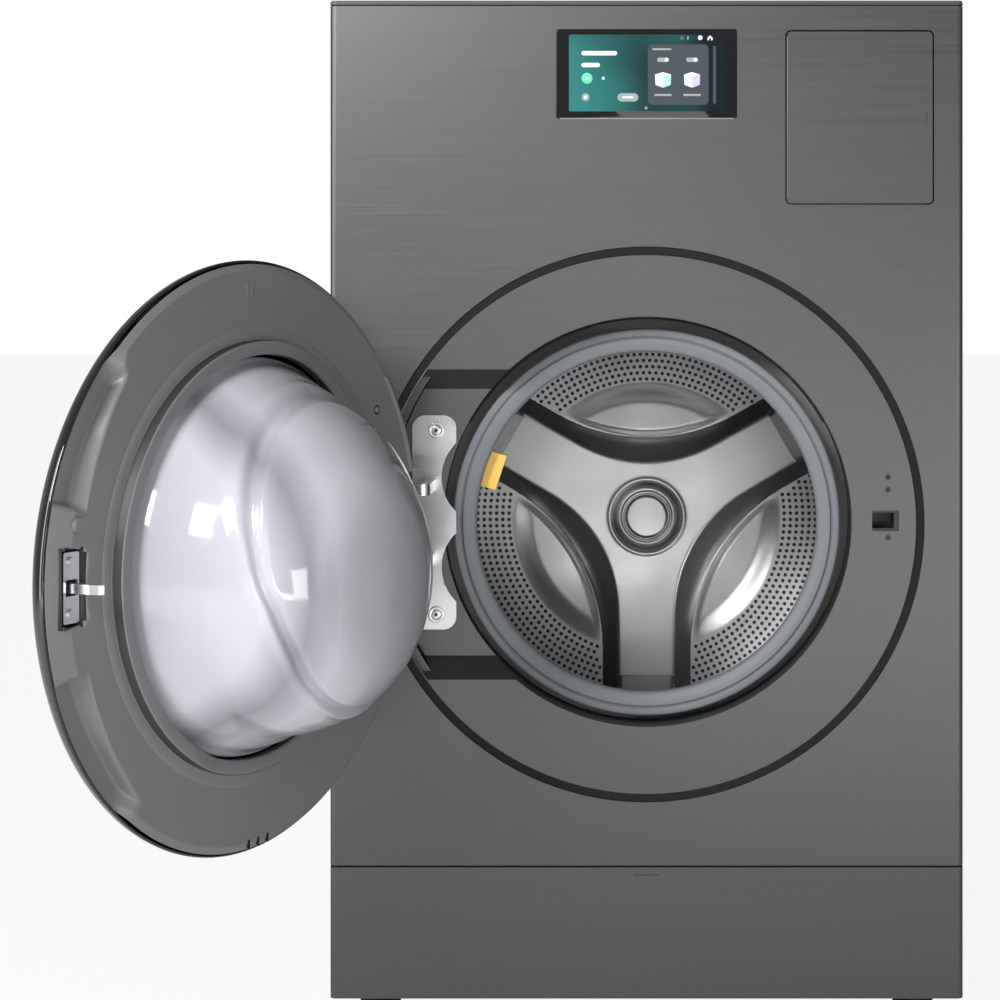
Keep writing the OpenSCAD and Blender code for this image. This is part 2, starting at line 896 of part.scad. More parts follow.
module tub_front() color("whitesmoke") {
    joint = tub_t0 + 0.45 * (tub_t1 - tub_t0);
    on_tub()
        about_y()
            polygon([[tub_mouth_r, tub_t0], [tub_r - 10, tub_t0], [tub_r, tub_t0 + 10],
                [tub_r, joint - 8], [tub_r + 8, joint - 8], [tub_r + 8, joint],
                [tub_r - tub_wall, joint], [tub_r - tub_wall, tub_t0 + 12],
                [tub_r - 14, tub_t0 + tub_wall], [tub_mouth_r, tub_t0 + tub_wall]]);
}

module tub_rear() color("gainsboro") {
    joint = tub_t0 + 0.45 * (tub_t1 - tub_t0);
    on_tub()
        difference() {
            union() {
                about_y()
                    polygon([[tub_r - tub_wall, joint + 0.1], [tub_r + 8, joint + 0.1],
                        [tub_r + 8, joint + 8], [tub_r, joint + 8], [tub_r, tub_t1 - 12],
                        [tub_r - 12, tub_t1], [36, tub_t1], [36, tub_t1 - 18],
                        [60, tub_t1 - 18], [68, tub_t1 - 8], [tub_r - 16, tub_t1 - 8],
                        [tub_r - tub_wall, tub_t1 - 16]]);
                for (i = [0:11])
                    rotate([0, 30 * i, 0])
                        translate([-2.5, tub_t1 - 0.5, 80])
                            cube([5, 12, tub_r - 100]);
            }
            rotate([0, 180, 0])
                translate([0, tub_t1 - 60, tub_r - 20])
                    cylinder(h = 40, r = 22);
        }
}

module counterweights() color("darkgray") {
    on_tub()
        for (s = [0, 180])
            rotate([0, s, 0])
                difference() {
                    y_rod(tub_r - 6, 30, tub_t0 - 0.2);
                    y_rod(tub_mouth_r + 14, 29, tub_t0 + 1);
                    translate([-tub_r, 20, -tub_r - 1])
                        cube([2 * tub_r, 80, tub_r + 1 + 0.36 * tub_r]);
                }
}

module bearings() color("silver") {
    on_tub() {
        y_ring(shaft_r + 0.05, 30, tub_t1 - 15, tub_t1 - 3);
        y_ring(30, 35.95, tub_t1 - 16, tub_t1 - 1);
    }
}

module motor_stator() color("peru") {
    on_tub()
        difference() {
            y_rod(rotor_r - 14, tub_t1 + 14, tub_t1 + 36);
            y_rod(70, tub_t1 + 13, tub_t1 + 37);
            for (i = [0:23])
                rotate([0, 15 * i, 0])
                    translate([-3, tub_t1 + 13, rotor_r - 34])
                        cube([6, 24, 40]);
        }
    on_tub()
        y_ring(70, 78, tub_t1 + 0.1, tub_t1 + 14.2);
}

module motor_rotor() color("silver") {
    on_tub()
        difference() {
            about_y()
                polygon([[shaft_r, tub_t1 + 28], [26, tub_t1 + 28], [26, tub_t1 + 39.5],
                    [rotor_r - 6, tub_t1 + 39.5], [rotor_r - 6, tub_t1 + 16],
                    [rotor_r, tub_t1 + 16], [rotor_r, tub_t1 + 42], [26, tub_t1 + 42],
                    [26, tub_t1 + 52], [shaft_r, tub_t1 + 52]]);
            for (i = [0:7])
                rotate([0, 45 * i, 0])
                    translate([0, tub_t1 + 30, 66])
                        y_rod(15, 0, 20);
        }
}

function spring_ys() = [200, tub_y + 0.75 * tub_t1];

module springs() color("silver") {
    for (s = [-1, 1], y = spring_ys())
        translate([s * (tub_r - 34), y, 0]) {
            zb = tub_z + 150 - (y - tub_y) * tan(drum_tilt);
            zt = unit_z0 - 12;
            turns = floor((zt - zb - 36) / 4.2);
            rod_h = (zt - zb - 4.2 * turns) / 2;
            wave = [for (i = [0:turns - 1], p = [[11.6, 0], [13, 1.2], [13, 3]])
                [p[0], p[1] + 4.2 * i]];
            translate([0, 0, zb + rod_h])
                rotate_extrude()
                    polygon(concat([[0, 0]], wave, [[0, 4.2 * turns - 1.2]]));
            translate([0, 0, zb])
                cylinder(h = rod_h + 1, r = 2.4);
            translate([0, 0, zt - rod_h - 2.2])
                cylinder(h = rod_h + 2.2, r = 2.4);
        }
}

// Height of the tub's underside above the floor at a damper's top
function tub_under(y) = tub_z - sqrt(pow(tub_r + 9, 2) - pow(208, 2)) - (y - tub_y) * tan(drum_tilt);

module dampers() color("dimgray") {
    lean = 14;
    for (s = [-1, 1], y = [190, 330])
        translate([s * 235, y, shelf_z + 6]) {
            translate([-16, -10, -4.4])
                cube([32, 20, 8]);
            rotate([0, -s * lean, 0]) {
                reach = (tub_under(y) - shelf_z - 14) / cos(lean);
                cylinder(h = 0.62 * reach, r = 15);
                cylinder(h = reach, r = 6);
            }
        }
}

module drain_pump() color("white") {
    translate([-60, body_d - 190, cab_z0 + 2.2]) {
        cube([120, 90, 74]);
        translate([60, 0.2, 40])
            rotate([90, 0, 0])
                cylinder(h = 60, r = 34);
    }
}

module inlet_valves() color("royalblue") {
    for (x = valve_xs())
        translate([x, 0, total_h - 90]) {
            difference() {
                union() {
                    y_rod(13.2, body_d - 20, body_d + 14);
                    y_rod(19, body_d - 26, body_d - 2 * sheet - 0.1);
                }
                y_rod(9, body_d - 4, body_d + 16);
            }
            translate([-20, body_d - 62, -20])
                cube([40, 37, 40]);
        }
    translate([-hw + 70, 0, 150])
        y_ring(8, 11, body_d - 40, body_d + 22);
}

module power_inlet() color("black") {
    difference() {
        union() {
            upright(body_d - 2 * sheet - 24, 24 + 2 * sheet)
                round_box_2d(hw - 109.5, total_h - 117.5, hw - 60.5, total_h - 82.5, 3);
            upright(body_d + 0.05, 3)
                round_box_2d(hw - 114, total_h - 122, hw - 56, total_h - 78, 3);
        }
        upright(body_d - 16, 30)
            round_box_2d(hw - 99, total_h - 111, hw - 71, total_h - 91, 3);
    }
    for (x = [-8, 0, 8])
        translate([hw - 85 + x, body_d - 18, total_h - 101 + (x == 0 ? 3 : -2)])
            cube([2, 14, 5], center = false);
}

module upper_tray() color("lightgray") {
    x1 = hw - sheet - 6;
    difference() {
        translate([-x1, 180, unit_z0])
            cube([2 * x1, body_d - 270, 26]);
        translate([-x1 + 3, 183, unit_z0 + 3])
            cube([2 * x1 - 6, body_d - 276, 30]);
    }
}

module compressor() color("black") {
    translate([-hw + 105, body_d - 190, unit_z0 + 3.2]) {
        cylinder(h = 12, r = 62);
        translate([0, 0, 11.5])
            cylinder(h = 118, r = 55);
        translate([0, 0, 129])
            cylinder(h = 16, r1 = 55, r2 = 30);
    }
}

module heat_exchangers() color("orange") {
    for (x = [-60, 40])
        translate([x, 330, unit_z0 + 3.2]) {
            for (i = [0:13])
                translate([0, 6 + 15 * i, 4])
                    cube([64, 3, 130]);
            for (i = [0:5])
                translate([8 + 48 * (i % 2), 0, 18 + 20 * i])
                    rotate([-90, 0, 0])
                        cylinder(h = 214, r = 5);
        }
}

module fan_housing() color("gray") {
    translate([hw - 110, body_d - 175, unit_z0 + 3.2])
        difference() {
            union() {
                cylinder(h = 66, r = 82);
                translate([-82, 0, 0])
                    cube([50, 76, 66]);
            }
            translate([0, 0, 3])
                cylinder(h = 60, r = 79);
            translate([0, 0, 60])
                cylinder(h = 10, r = 46);
            translate([-79, 0, 3])
                cube([44, 80, 60]);
        }
}

module fan_wheel() color("whitesmoke") {
    translate([hw - 110, body_d - 175, unit_z0 + 3.2]) {
        difference() {
            translate([0, 0, 9])
                cylinder(h = 46, r = 60);
            translate([0, 0, 12])
                cylinder(h = 44, r = 50);
            for (i = [0:17])
                rotate([0, 0, 20 * i])
                    translate([48, -3, 14])
                        cube([14, 6, 36]);
        }
        translate([0, 0, 4])
            cylinder(h = 40, r = 9);
    }
}

module lint_filter() color("seagreen") {
    x0 = filter_x0 + 12;
    x1 = filter_x1 - 12;
    difference() {
        translate([x0, 22, filter_z0 + 14])
            cube([x1 - x0, 150, filter_h - 30]);
        translate([x0 + 3, 26, filter_z0 + 17])
            cube([x1 - x0 - 6, 150, filter_h - 36]);
        translate([x0 + 30, 20, filter_z0 + 0.45 * filter_h])
            cube([x1 - x0 - 60, 10, 26]);
    }
    for (i = [1:7])
        translate([x0 + 2, 150, filter_z0 + 14 + i * (filter_h - 30) / 8])
            cube([x1 - x0 - 4, 2, 2]);
}

module filter_door() color("dimgray") {
    x0 = filter_x0 + panel_gap;
    x1 = filter_x1 - panel_gap;
    upright(0, 2.2)
        difference() {
            round_box_2d(x0, filter_z0 + panel_gap, x1, filter_z1 - panel_gap, 5);
            translate([x0 - 1, filter_z0])
                square([2.1, filter_h]);
        }
    translate([x0 + 1.1, 1.1, filter_z0 + panel_gap + 5])
        cylinder(h = filter_h - 2 * panel_gap - 10, r = 1.1);
    difference() {
        upright(2, 7)
            round_box_2d(x0 + 8, filter_z0 + 9, x1 - 8, filter_z1 - 9, 4);
        upright(4, 7)
            round_box_2d(x0 + 11, filter_z0 + 12, x1 - 11, filter_z1 - 12, 3);
    }
}

module display_glass() color("black") {
    upright(-0.6, 4)
        round_box_2d(-display_w / 2 + 0.4, display_z0 + 0.4, display_w / 2 - 0.4,
            display_z1 - 0.4, 3);
}

module display_screen() color("teal") {
    upright(3.5, 4)
        round_box_2d(-display_w / 2 + 14, display_z0 + 8, display_w / 2 - 14, display_z1 - 6, 2);
}

module control_board() color("darkgreen") {
    difference() {
        upright(3.5, 34)
            round_box_2d(-display_w / 2 - 8, display_z0 - 8, display_w / 2 + 8,
                display_z1 + 6, 4);
        upright(1, 8)
            round_box_2d(-display_w / 2 + 13.8, display_z0 + 7.8, display_w / 2 - 13.8,
                display_z1 - 5.8, 2);
    }
}

module drawer_front() color("gray") {
    difference() {
        translate([0, 0, cab_z0])
            linear_extrude(drawer_h)
                channel_2d(return_d, sheet);
        translate([0, 0, drawer_top - 8])
            upright(-1, 1.6)
                round_box_2d(-14, -1, 14, 1, 0.9);
    }
    for (z = [cab_z0, drawer_top - sheet])
        translate([-hw + 9, 0.5, z])
            cube([body_w - 18, return_d - 1, sheet]);
}

module drawer_box() color("whitesmoke") {
    x1 = bay_half - 16;
    y0 = return_d;
    difference() {
        translate([-x1, y0, tank_z0])
            cube([2 * x1, drawer_len, tank_h]);
        translate([-x1 + tank_wall, y0 + tank_wall, tank_z0 + tank_wall])
            cube([x1 - 1.5 * tank_wall, drawer_len - 2 * tank_wall, tank_h]);
        translate([0.5 * tank_wall, y0 + tank_wall, tank_z0 + tank_wall])
            cube([x1 - 1.5 * tank_wall, drawer_len - 2 * tank_wall, tank_h]);
    }
    for (s = [0, 1])
        mirror([s, 0, 0]) {
            translate([x1 - 0.1, y0 + 30, tank_z0 + 37.4])
                cube([10.6, drawer_len - 30, 4]);
            translate([4 + lid_w, 0, 0])
                translate([0, y0 + tank_wall - 0.1, tank_z0 + tank_h - 3])
                    cube([x1 - lid_w - tank_wall - 3.9, drawer_len - 2 * tank_wall + 0.2, 3]);
            translate([4, y0 + 60 + lid_l + 1, tank_z0 + tank_h - 3])
                cube([lid_w, drawer_len - lid_l - 61 - tank_wall + 0.1, 3]);
            translate([tank_wall / 2 - 0.1, y0 + tank_wall - 0.1, tank_z0 + tank_h - 3])
                cube([4.1 - tank_wall / 2 + 0.1, drawer_len - 2 * tank_wall + 0.2, 3]);
            translate([4, y0 + tank_wall - 0.1, tank_z0 + tank_h - 3])
                cube([lid_w, 57 - tank_wall + 0.1, 3]);
        }
}

// One flap over a tank's filling mouth, with its hinge rod at the back
module tank_lid() {
    translate([4.5, return_d + 57.5, tank_z0 + tank_h + 0.3])
        cube([lid_w - 1, lid_l + 1.5, 2.4]);
    translate([4.5, return_d + 60 + lid_l, tank_z0 + tank_h + 3])
        rotate([0, 90, 0])
            cylinder(h = lid_w - 1, r = 2.6);
    translate([0.5 * lid_w - 12, return_d + 54, tank_z0 + tank_h + 0.3])
        cube([32, 4, 2.4]);
}

module detergent_lid() color("lightsteelblue")
    mirror([1, 0, 0])
        tank_lid();

module softener_lid() color("lightsteelblue")
    tank_lid();

placed() base_pan();
placed() feet();
placed() left_side_panel();
placed() right_side_panel();
placed() rear_panel();
placed() rear_cover();
placed() top_cover();
placed() front_panel();
placed() door_seat();
placed() inner_frame();
placed() drawer_rails();
placed() door_gasket();
placed() gasket_band();
placed() drum_lamp();
placed() door_lock();
placed() seat_screws();
placed() hinge_plate();
placed() hinge_arms();
placed() hinge_pins();
placed() door_rim();
placed() door_glass();
placed() door_trim();
placed() glass_bowl();
placed() bowl_bezel();
placed() door_hinge_leaf();
placed() latch_plate();
placed() latch_hook();
placed() door_screws();
placed() door_pusher();
placed() drum_shell();
placed() drum_back();
placed() drum_star();
placed() star_cap();
placed() lifters();
placed() drum_shaft();
placed() tub_front();
placed() tub_rear();
placed() counterweights();
placed() bearings();
placed() motor_stator();
placed() motor_rotor();
placed() springs();
placed() dampers();
placed() drain_pump();
placed() inlet_valves();
placed() power_inlet();
placed() upper_tray();
placed() compressor();
placed() heat_exchangers();
placed() fan_housing();
placed() fan_wheel();
placed() lint_filter();
placed() filter_door();
placed() display_glass();
placed() display_screen();
placed() control_board();
placed() drawer_front();
placed() drawer_box();
placed() detergent_lid();
placed() softener_lid();
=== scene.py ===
import json
import math

import bmesh
import bpy
from mathutils import Matrix, Vector


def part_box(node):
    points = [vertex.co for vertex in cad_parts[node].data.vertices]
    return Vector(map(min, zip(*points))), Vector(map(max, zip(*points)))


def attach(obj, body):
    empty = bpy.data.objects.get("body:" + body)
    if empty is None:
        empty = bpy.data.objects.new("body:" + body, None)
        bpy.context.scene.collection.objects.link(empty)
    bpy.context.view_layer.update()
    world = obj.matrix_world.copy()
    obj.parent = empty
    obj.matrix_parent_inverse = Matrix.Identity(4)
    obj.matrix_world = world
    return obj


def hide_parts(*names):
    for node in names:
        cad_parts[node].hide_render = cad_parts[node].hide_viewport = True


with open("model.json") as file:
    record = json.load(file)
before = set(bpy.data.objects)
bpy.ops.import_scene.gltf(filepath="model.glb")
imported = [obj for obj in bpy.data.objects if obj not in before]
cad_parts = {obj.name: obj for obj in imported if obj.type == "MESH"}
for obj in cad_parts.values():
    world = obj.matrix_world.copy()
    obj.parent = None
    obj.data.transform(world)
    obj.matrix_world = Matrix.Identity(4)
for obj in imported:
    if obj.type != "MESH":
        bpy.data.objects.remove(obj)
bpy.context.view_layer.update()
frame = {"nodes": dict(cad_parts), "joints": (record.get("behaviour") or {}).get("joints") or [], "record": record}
scene = bpy.context.scene
MM = 0.001


# ---------------------------------------------------------------- places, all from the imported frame
def joint(name):
    return next(j for j in frame["joints"] if j["name"] == name)


def mid(node, axis):
    lo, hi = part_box(node)
    return (lo[axis] + hi[axis]) / 2 / MM


def half(node, axis):
    lo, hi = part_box(node)
    return (hi[axis] - lo[axis]) / 2 / MM


HINGE = Vector(joint("door_hinge")["pos_m"])
OPEN = math.radians(joint("door_hinge")["range_deg"][1])
DRUM = Vector(joint("drum_spin")["pos_m"])
TILT = math.atan2(-joint("drum_spin")["axis"][2], joint("drum_spin")["axis"][1])
DOOR_Z = mid("door_seat", 2)
SEAT_R = half("door_seat", 0)
DOOR_R = half("door_rim", 2)
BACK = -7.0
FACE_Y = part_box("drawer_front")[0].y
MIDDLE = Vector((mid("front_panel", 0) * MM, FACE_Y, 0.0))
CAB = Matrix.Translation(MIDDLE)
SEAT = CAB @ Matrix.Translation((0, 0, DOOR_Z * MM))
SWING = Matrix.Translation(HINGE) @ Matrix.Rotation(-OPEN, 4, "Z") @ Matrix.Translation(-HINGE)
DOOR = SWING @ SEAT
TUB = Matrix.Translation(DRUM) @ Matrix.Rotation(-TILT, 4, "X")


# ---------------------------------------------------------------- material building blocks
def new_mat(name):
    m = bpy.data.materials.new(name)
    m.use_nodes = True
    return m, m.node_tree.nodes, m.node_tree.links, m.node_tree.nodes["Principled BSDF"]


def coords(nodes, links, scale):
    tc = nodes.new("ShaderNodeTexCoord")
    mp = nodes.new("ShaderNodeMapping")
    mp.inputs["Scale"].default_value = scale
    links.new(tc.outputs["Object"], mp.inputs["Vector"])
    return mp.outputs["Vector"]


def noise(nodes, links, scale, detail=3.0, rough=0.6):
    n = nodes.new("ShaderNodeTexNoise")
    n.inputs["Scale"].default_value = 1.0
    n.inputs["Detail"].default_value = detail
    n.inputs["Roughness"].default_value = rough
    links.new(coords(nodes, links, scale), n.inputs["Vector"])
    return n.outputs["Fac"]


def span(nodes, links, fac, lo, hi, out_lo, out_hi):
    r = nodes.new("ShaderNodeMapRange")
    for i, v in enumerate((lo, hi, out_lo, out_hi)):
        r.inputs[i + 1].default_value = v
    links.new(fac, r.inputs[0])
    return r.outputs[0]


def tint(nodes, links, fac, dark, light):
    m = nodes.new("ShaderNodeMix")
    m.data_type = "RGBA"
    m.inputs[6].default_value = (*dark, 1)
    m.inputs[7].default_value = (*light, 1)
    links.new(fac, m.inputs[0])
    return m.outputs[2]


def bump(nodes, links, bsdf, fac, strength, distance=0.0002):
    b = nodes.new("ShaderNodeBump")
    b.inputs["Strength"].default_value = strength
    b.inputs["Distance"].default_value = distance
    links.new(fac, b.inputs["Height"])
    links.new(b.outputs["Normal"], bsdf.inputs["Normal"])


def brushed(name, base, rough, grain=(6, 6, 1400), vary=0.10, aniso=0.0, strength=0.12):
    m, n, l, b = new_mat(name)
    f = noise(n, l, grain, 4.0)
    cloud = noise(n, l, (2.2, 2.2, 2.2), 2.0)
    both = n.new("ShaderNodeMath")
    both.operation = "MULTIPLY_ADD"
    both.inputs[1].default_value = 0.75
    l.new(f, both.inputs[0])
    quarter = span(n, l, cloud, 0.0, 1.0, 0.0, 0.25)
    l.new(quarter, both.inputs[2])
    dark = [c * (1 - vary) for c in base]
    light = [min(1.0, c * (1 + vary)) for c in base]
    l.new(tint(n, l, span(n, l, both.outputs[0], 0.3, 0.7, 0, 1), dark, light), b.inputs["Base Color"])
    l.new(span(n, l, f, 0.3, 0.7, rough - 0.05, rough + 0.05), b.inputs["Roughness"])
    b.inputs["Metallic"].default_value = 1.0
    b.inputs["Anisotropic"].default_value = aniso
    bump(n, l, b, f, strength)
    return m


def moulded(name, base, rough, grain=2600.0, strength=0.25, vary=0.06, spec=0.5, coat=0.0):
    m, n, l, b = new_mat(name)
    f = noise(n, l, (grain, grain, grain), 2.0)
    cloud = noise(n, l, (9, 9, 9), 3.0)
    dark = [c * (1 - vary) for c in base]
    light = [min(1.0, c * (1 + vary)) for c in base]
    l.new(tint(n, l, cloud, dark, light), b.inputs["Base Color"])
    l.new(span(n, l, cloud, 0.3, 0.7, rough - 0.04, rough + 0.04), b.inputs["Roughness"])
    b.inputs["Specular IOR Level"].default_value = spec
    b.inputs["Coat Weight"].default_value = coat
    bump(n, l, b, f, strength, 0.00006)
    return m


MATS = {
    "inox_front": brushed("inox_front", (0.110, 0.110, 0.111), 0.42, aniso=0.3, vary=0.06, strength=0.06),
    "case_paint": moulded("case_paint", (0.060, 0.060, 0.062), 0.45, strength=0.15),
    "zinc_sheet": brushed("zinc_sheet", (0.50, 0.51, 0.52), 0.42, (40, 40, 40), 0.14, strength=0.05),
    "dark_frame": moulded("dark_frame", (0.03, 0.03, 0.032), 0.5),
    "grey_rubber": moulded("grey_rubber", (0.175, 0.192, 0.207), 0.50, 1500, 0.2),
    "black_rubber": moulded("black_rubber", (0.015, 0.015, 0.015), 0.7, 1500, 0.3),
    "stainless": brushed("stainless", (0.58, 0.58, 0.585), 0.33, (9, 9, 9), 0.03, strength=0.0),
    "bright_steel": brushed("bright_steel", (0.66, 0.66, 0.67), 0.30, (14, 14, 40), 0.03, strength=0.0),
    "grey_plastic": moulded("grey_plastic", (0.165, 0.165, 0.168), 0.38),
    "dark_plastic": moulded("dark_plastic", (0.020, 0.021, 0.024), 0.45),
    "gloss_black": moulded("gloss_black", (0.004, 0.004, 0.005), 0.06, 900, 0.0, spec=0.6, coat=0.6),
    "white_plastic": moulded("white_plastic", (0.72, 0.72, 0.70), 0.42),
    "tinted_glass": moulded("tinted_glass", (0.004, 0.004, 0.005), 0.05, 900, 0.0, spec=0.6, coat=0.5),
    "amber_lens": moulded("amber_lens", (0.92, 0.58, 0.10), 0.35, 1200, 0.05),
    "weight_cast": moulded("weight_cast", (0.33, 0.32, 0.30), 0.8, 260, 0.6),
    "cast_metal": moulded("cast_metal", (0.02, 0.02, 0.02), 0.5, 700, 0.4),
    "copper_coil": brushed("copper_coil", (0.70, 0.33, 0.16), 0.35, (500, 500, 500), 0.12),
    "fin_metal": brushed("fin_metal", (0.72, 0.73, 0.74), 0.35, (60, 60, 900), 0.05),
    "valve_plastic": moulded("valve_plastic", (0.03, 0.07, 0.25), 0.4),
    "filter_green": moulded("filter_green", (0.09, 0.25, 0.19), 0.45),
    "lid_blue": moulded("lid_blue", (0.30, 0.45, 0.58), 0.3),
}
MATS["star_cap_steel"] = brushed("star_cap_steel", (0.50, 0.50, 0.50), 0.30, (9, 9, 9), 0.03, strength=0.0)
MATS["groove_dark"] = moulded("groove_dark", (0.012, 0.012, 0.012), 0.65, 900, 0.0, 0.03, 0.15)
MATS["lifter_dark"] = moulded("lifter_dark", (0.045, 0.047, 0.052), 0.38)
UI_TONES = (("white", (0.80, 0.82, 0.84)), ("mint", (0.35, 0.75, 0.62)),
            ("lilac", (0.50, 0.48, 0.85)), ("green", (0.10, 0.68, 0.38)),
            ("slate", (0.10, 0.12, 0.13)), ("card", (0.045, 0.06, 0.07)),
            ("grey", (0.30, 0.32, 0.33)))
for tone, value in UI_TONES:
    MATS["ui_" + tone] = moulded("ui_" + tone, value, 0.5, 900, 0.0, 0.02, 0.2)
# bowl glass: pale and a little milky, with soft light and dark bands from the hinge side to the free side; the
# milky tone and the bands are painted reflections and painted shade in the base colour
m, n, l, b = new_mat("clear_glass")
at = n.new("ShaderNodeAttribute")
at.attribute_name = "local"
parts = n.new("ShaderNodeSeparateXYZ")
l.new(at.outputs["Vector"], parts.inputs[0])
# this ramp along the door's x paints reflections and shade into the glass: darkest at the hinge side, with light
# and dark bands towards the free side
ramp = n.new("ShaderNodeValToRGB")
l.new(span(n, l, parts.outputs[0], -0.19, 0.19, 0.0, 1.0), ramp.inputs[0])
stops = ramp.color_ramp.elements
stops[0].position, stops[0].color = 0.0, (0.20, 0.20, 0.21, 1)
stops[1].position, stops[1].color = 1.0, (0.66, 0.66, 0.74, 1)
BOWL_REFLECTION_SHADE_BANDS = ((0.30, (0.36, 0.36, 0.38)), (0.50, (0.70, 0.70, 0.75)), (0.68, (0.88, 0.88, 0.96)),
              (0.76, (0.50, 0.50, 0.56)), (0.84, (0.92, 0.92, 1.0)))
for at_x, c in BOWL_REFLECTION_SHADE_BANDS:
    stop = stops.new(at_x)
    stop.color = (*c, 1)
l.new(ramp.outputs[0], b.inputs["Base Color"])
b.inputs["Roughness"].default_value = 0.10
b.inputs["Transmission Weight"].default_value = 0.48
b.inputs["IOR"].default_value = 1.45
b.inputs["Coat Weight"].default_value = 0.6
f = noise(n, l, (5, 5, 5), 1.0)
bump(n, l, b, f, 0.05, 0.002)
MATS["clear_glass"] = m

# display: a teal swell that fades to the dark right side
m, n, l, b = new_mat("screen_face")
v = coords(n, l, (1, 1, 1))
parts = n.new("ShaderNodeSeparateXYZ")
l.new(v, parts.inputs[0])
wave = n.new("ShaderNodeTexNoise")
wave.inputs["Scale"].default_value = 11.0
wave.inputs["Detail"].default_value = 1.0
l.new(v, wave.inputs["Vector"])
soft = n.new("ShaderNodeMath")
soft.operation = "MULTIPLY_ADD"
soft.inputs[1].default_value = 0.9
l.new(span(n, l, parts.outputs[0], 0.22, 0.36, 0.75, 0.0), soft.inputs[2])
l.new(span(n, l, wave.outputs["Fac"], 0.3, 0.7, -0.25, 0.25), soft.inputs[0])
l.new(tint(n, l, soft.outputs[0], (0.006, 0.012, 0.015), (0.03, 0.20, 0.19)), b.inputs["Base Color"])
b.inputs["Roughness"].default_value = 0.35
b.inputs["Specular IOR Level"].default_value = 0.1
MATS["screen_face"] = m

SLOT_OF = {p["node"]: p["material_slot"] for p in frame["record"]["subparts"]}
for name, node in frame["nodes"].items():
    node.data.materials.clear()
    node.data.materials.append(MATS[SLOT_OF[name]])
    node.data.set_sharp_from_angle(angle=math.radians(35))



# ---------------------------------------------------------------- mesh building blocks
def piece(name, verts, faces, mat, body, nodes=(), place=CAB, sharp=35.0, local=False):
    me = bpy.data.meshes.new(name)
    me.from_pydata([place @ (Vector(v) * MM) for v in verts], [], faces)
    me.validate()
    bm = bmesh.new()
    bm.from_mesh(me)
    bmesh.ops.remove_doubles(bm, verts=bm.verts, dist=1e-6)
    bmesh.ops.recalc_face_normals(bm, faces=bm.faces)
    bm.to_mesh(me)
    bm.free()
    for p in me.polygons:
        p.use_smooth = True
    me.set_sharp_from_angle(angle=math.radians(sharp))
    if local:
        back = place.inverted()
        at = me.attributes.new("local", "FLOAT_VECTOR", "POINT")
        for i, v in enumerate(me.vertices):
            at.data[i].vector = back @ v.co
    me.materials.append(MATS[mat])
    o = bpy.data.objects.new(name, me)
    scene.collection.objects.link(o)
    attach(o, body)
    if nodes:
        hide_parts(*nodes)
    return o


def soften(points, radius, steps=4, closed=True):
    """Rounds the corners of an outline."""
    out = []
    n = len(points)
    for i, p in enumerate(points):
        if not closed and i in (0, n - 1):
            out.append(p)
            continue
        a, b = Vector(points[i - 1]), Vector(points[(i + 1) % n])
        p = Vector(p)
        da, db = (a - p).length, (b - p).length
        r = min(radius, da * 0.45, db * 0.45)
        if r < 1e-6:
            out.append(tuple(p))
            continue
        s, e = p + (a - p) * (r / da), p + (b - p) * (r / db)
        for k in range(steps + 1):
            t = k / steps
            q = s * (1 - t) ** 2 + p * (2 * t * (1 - t)) + e * t**2
            out.append(tuple(q))
    return out


def lathe(name, profile, mat, body, nodes=(), place=CAB, seg=192, arc=None, closed=True, axis_at=(0.0, 0.0)):
    """Turns (radius, y) points about the local Y axis; arc limits it to angles in degrees, with end caps."""
    full = arc is None
    a0, a1 = (0.0, 360.0) if full else arc
    count = seg if full else max(8, int(seg * (a1 - a0) / 360))
    rings = count if full else count + 1
    verts, faces = [], []
    m = len(profile)
    for i in range(rings):
        a = math.radians(a0 + (a1 - a0) * i / count)
        for r, y in profile:
            verts.append((axis_at[0] + r * math.cos(a), y, axis_at[1] + r * math.sin(a)))
    for i in range(count):
        j = (i + 1) % rings
        for k in range(m if closed else m - 1):
            q = (k + 1) % m
            faces.append((i * m + k, i * m + q, j * m + q, j * m + k))
    if not full and closed:
        faces.append(tuple(range(m)))
        faces.append(tuple((rings - 1) * m + k for k in reversed(range(m))))
    return piece(name, verts, faces, mat, body, nodes, place)


def slab(name, outline, y0, y1, bevel, mat, body, nodes=(), place=CAB, steps=3):
    """A plate with the outline in X and Z, front at y0 and back at y1, with softened edges."""
    bm = bmesh.new()
    front = [bm.verts.new((x, y0, z)) for x, z in outline]
    back = [bm.verts.new((x, y1, z)) for x, z in outline]
    n = len(outline)
    bm.faces.new(front)
    bm.faces.new(list(reversed(back)))
    for i in range(n):
        j = (i + 1) % n
        bm.faces.new((front[j], front[i], back[i], back[j]))
    bmesh.ops.recalc_face_normals(bm, faces=bm.faces)
    if bevel:
        rims = [e for e in bm.edges if abs(e.verts[0].co.y - e.verts[1].co.y) < 1e-9]
        bmesh.ops.bevel(bm, geom=rims, offset=bevel, segments=steps, profile=0.5, affect="EDGES",
                        clamp_overlap=True)
    verts = [tuple(v.co) for v in bm.verts]
    bm.verts.index_update()
    faces = [tuple(v.index for v in f.verts) for f in bm.faces]
    bm.free()
    return piece(name, verts, faces, mat, body, nodes, place, 50.0)


def round_rect(x0, z0, x1, z1, r, steps=6):
    pts = []
    corners = ((x1 - r, z1 - r, 0), (x0 + r, z1 - r, 90), (x0 + r, z0 + r, 180), (x1 - r, z0 + r, 270))
    for cx, cz, s in corners:
        for k in range(steps + 1):
            a = math.radians(s + 90 * k / steps)
            pts.append((cx + r * math.cos(a), cz + r * math.sin(a)))
    return pts


def ring_pts(cx, cz, r, count=32):
    turns = [2 * math.pi * k / count for k in range(count)]
    return [(cx + r * math.cos(t), cz + r * math.sin(t)) for t in turns]


def smooth(e0, e1, x):
    t = min(1.0, max(0.0, (x - e0) / (e1 - e0)))
    return t * t * (3 - 2 * t)


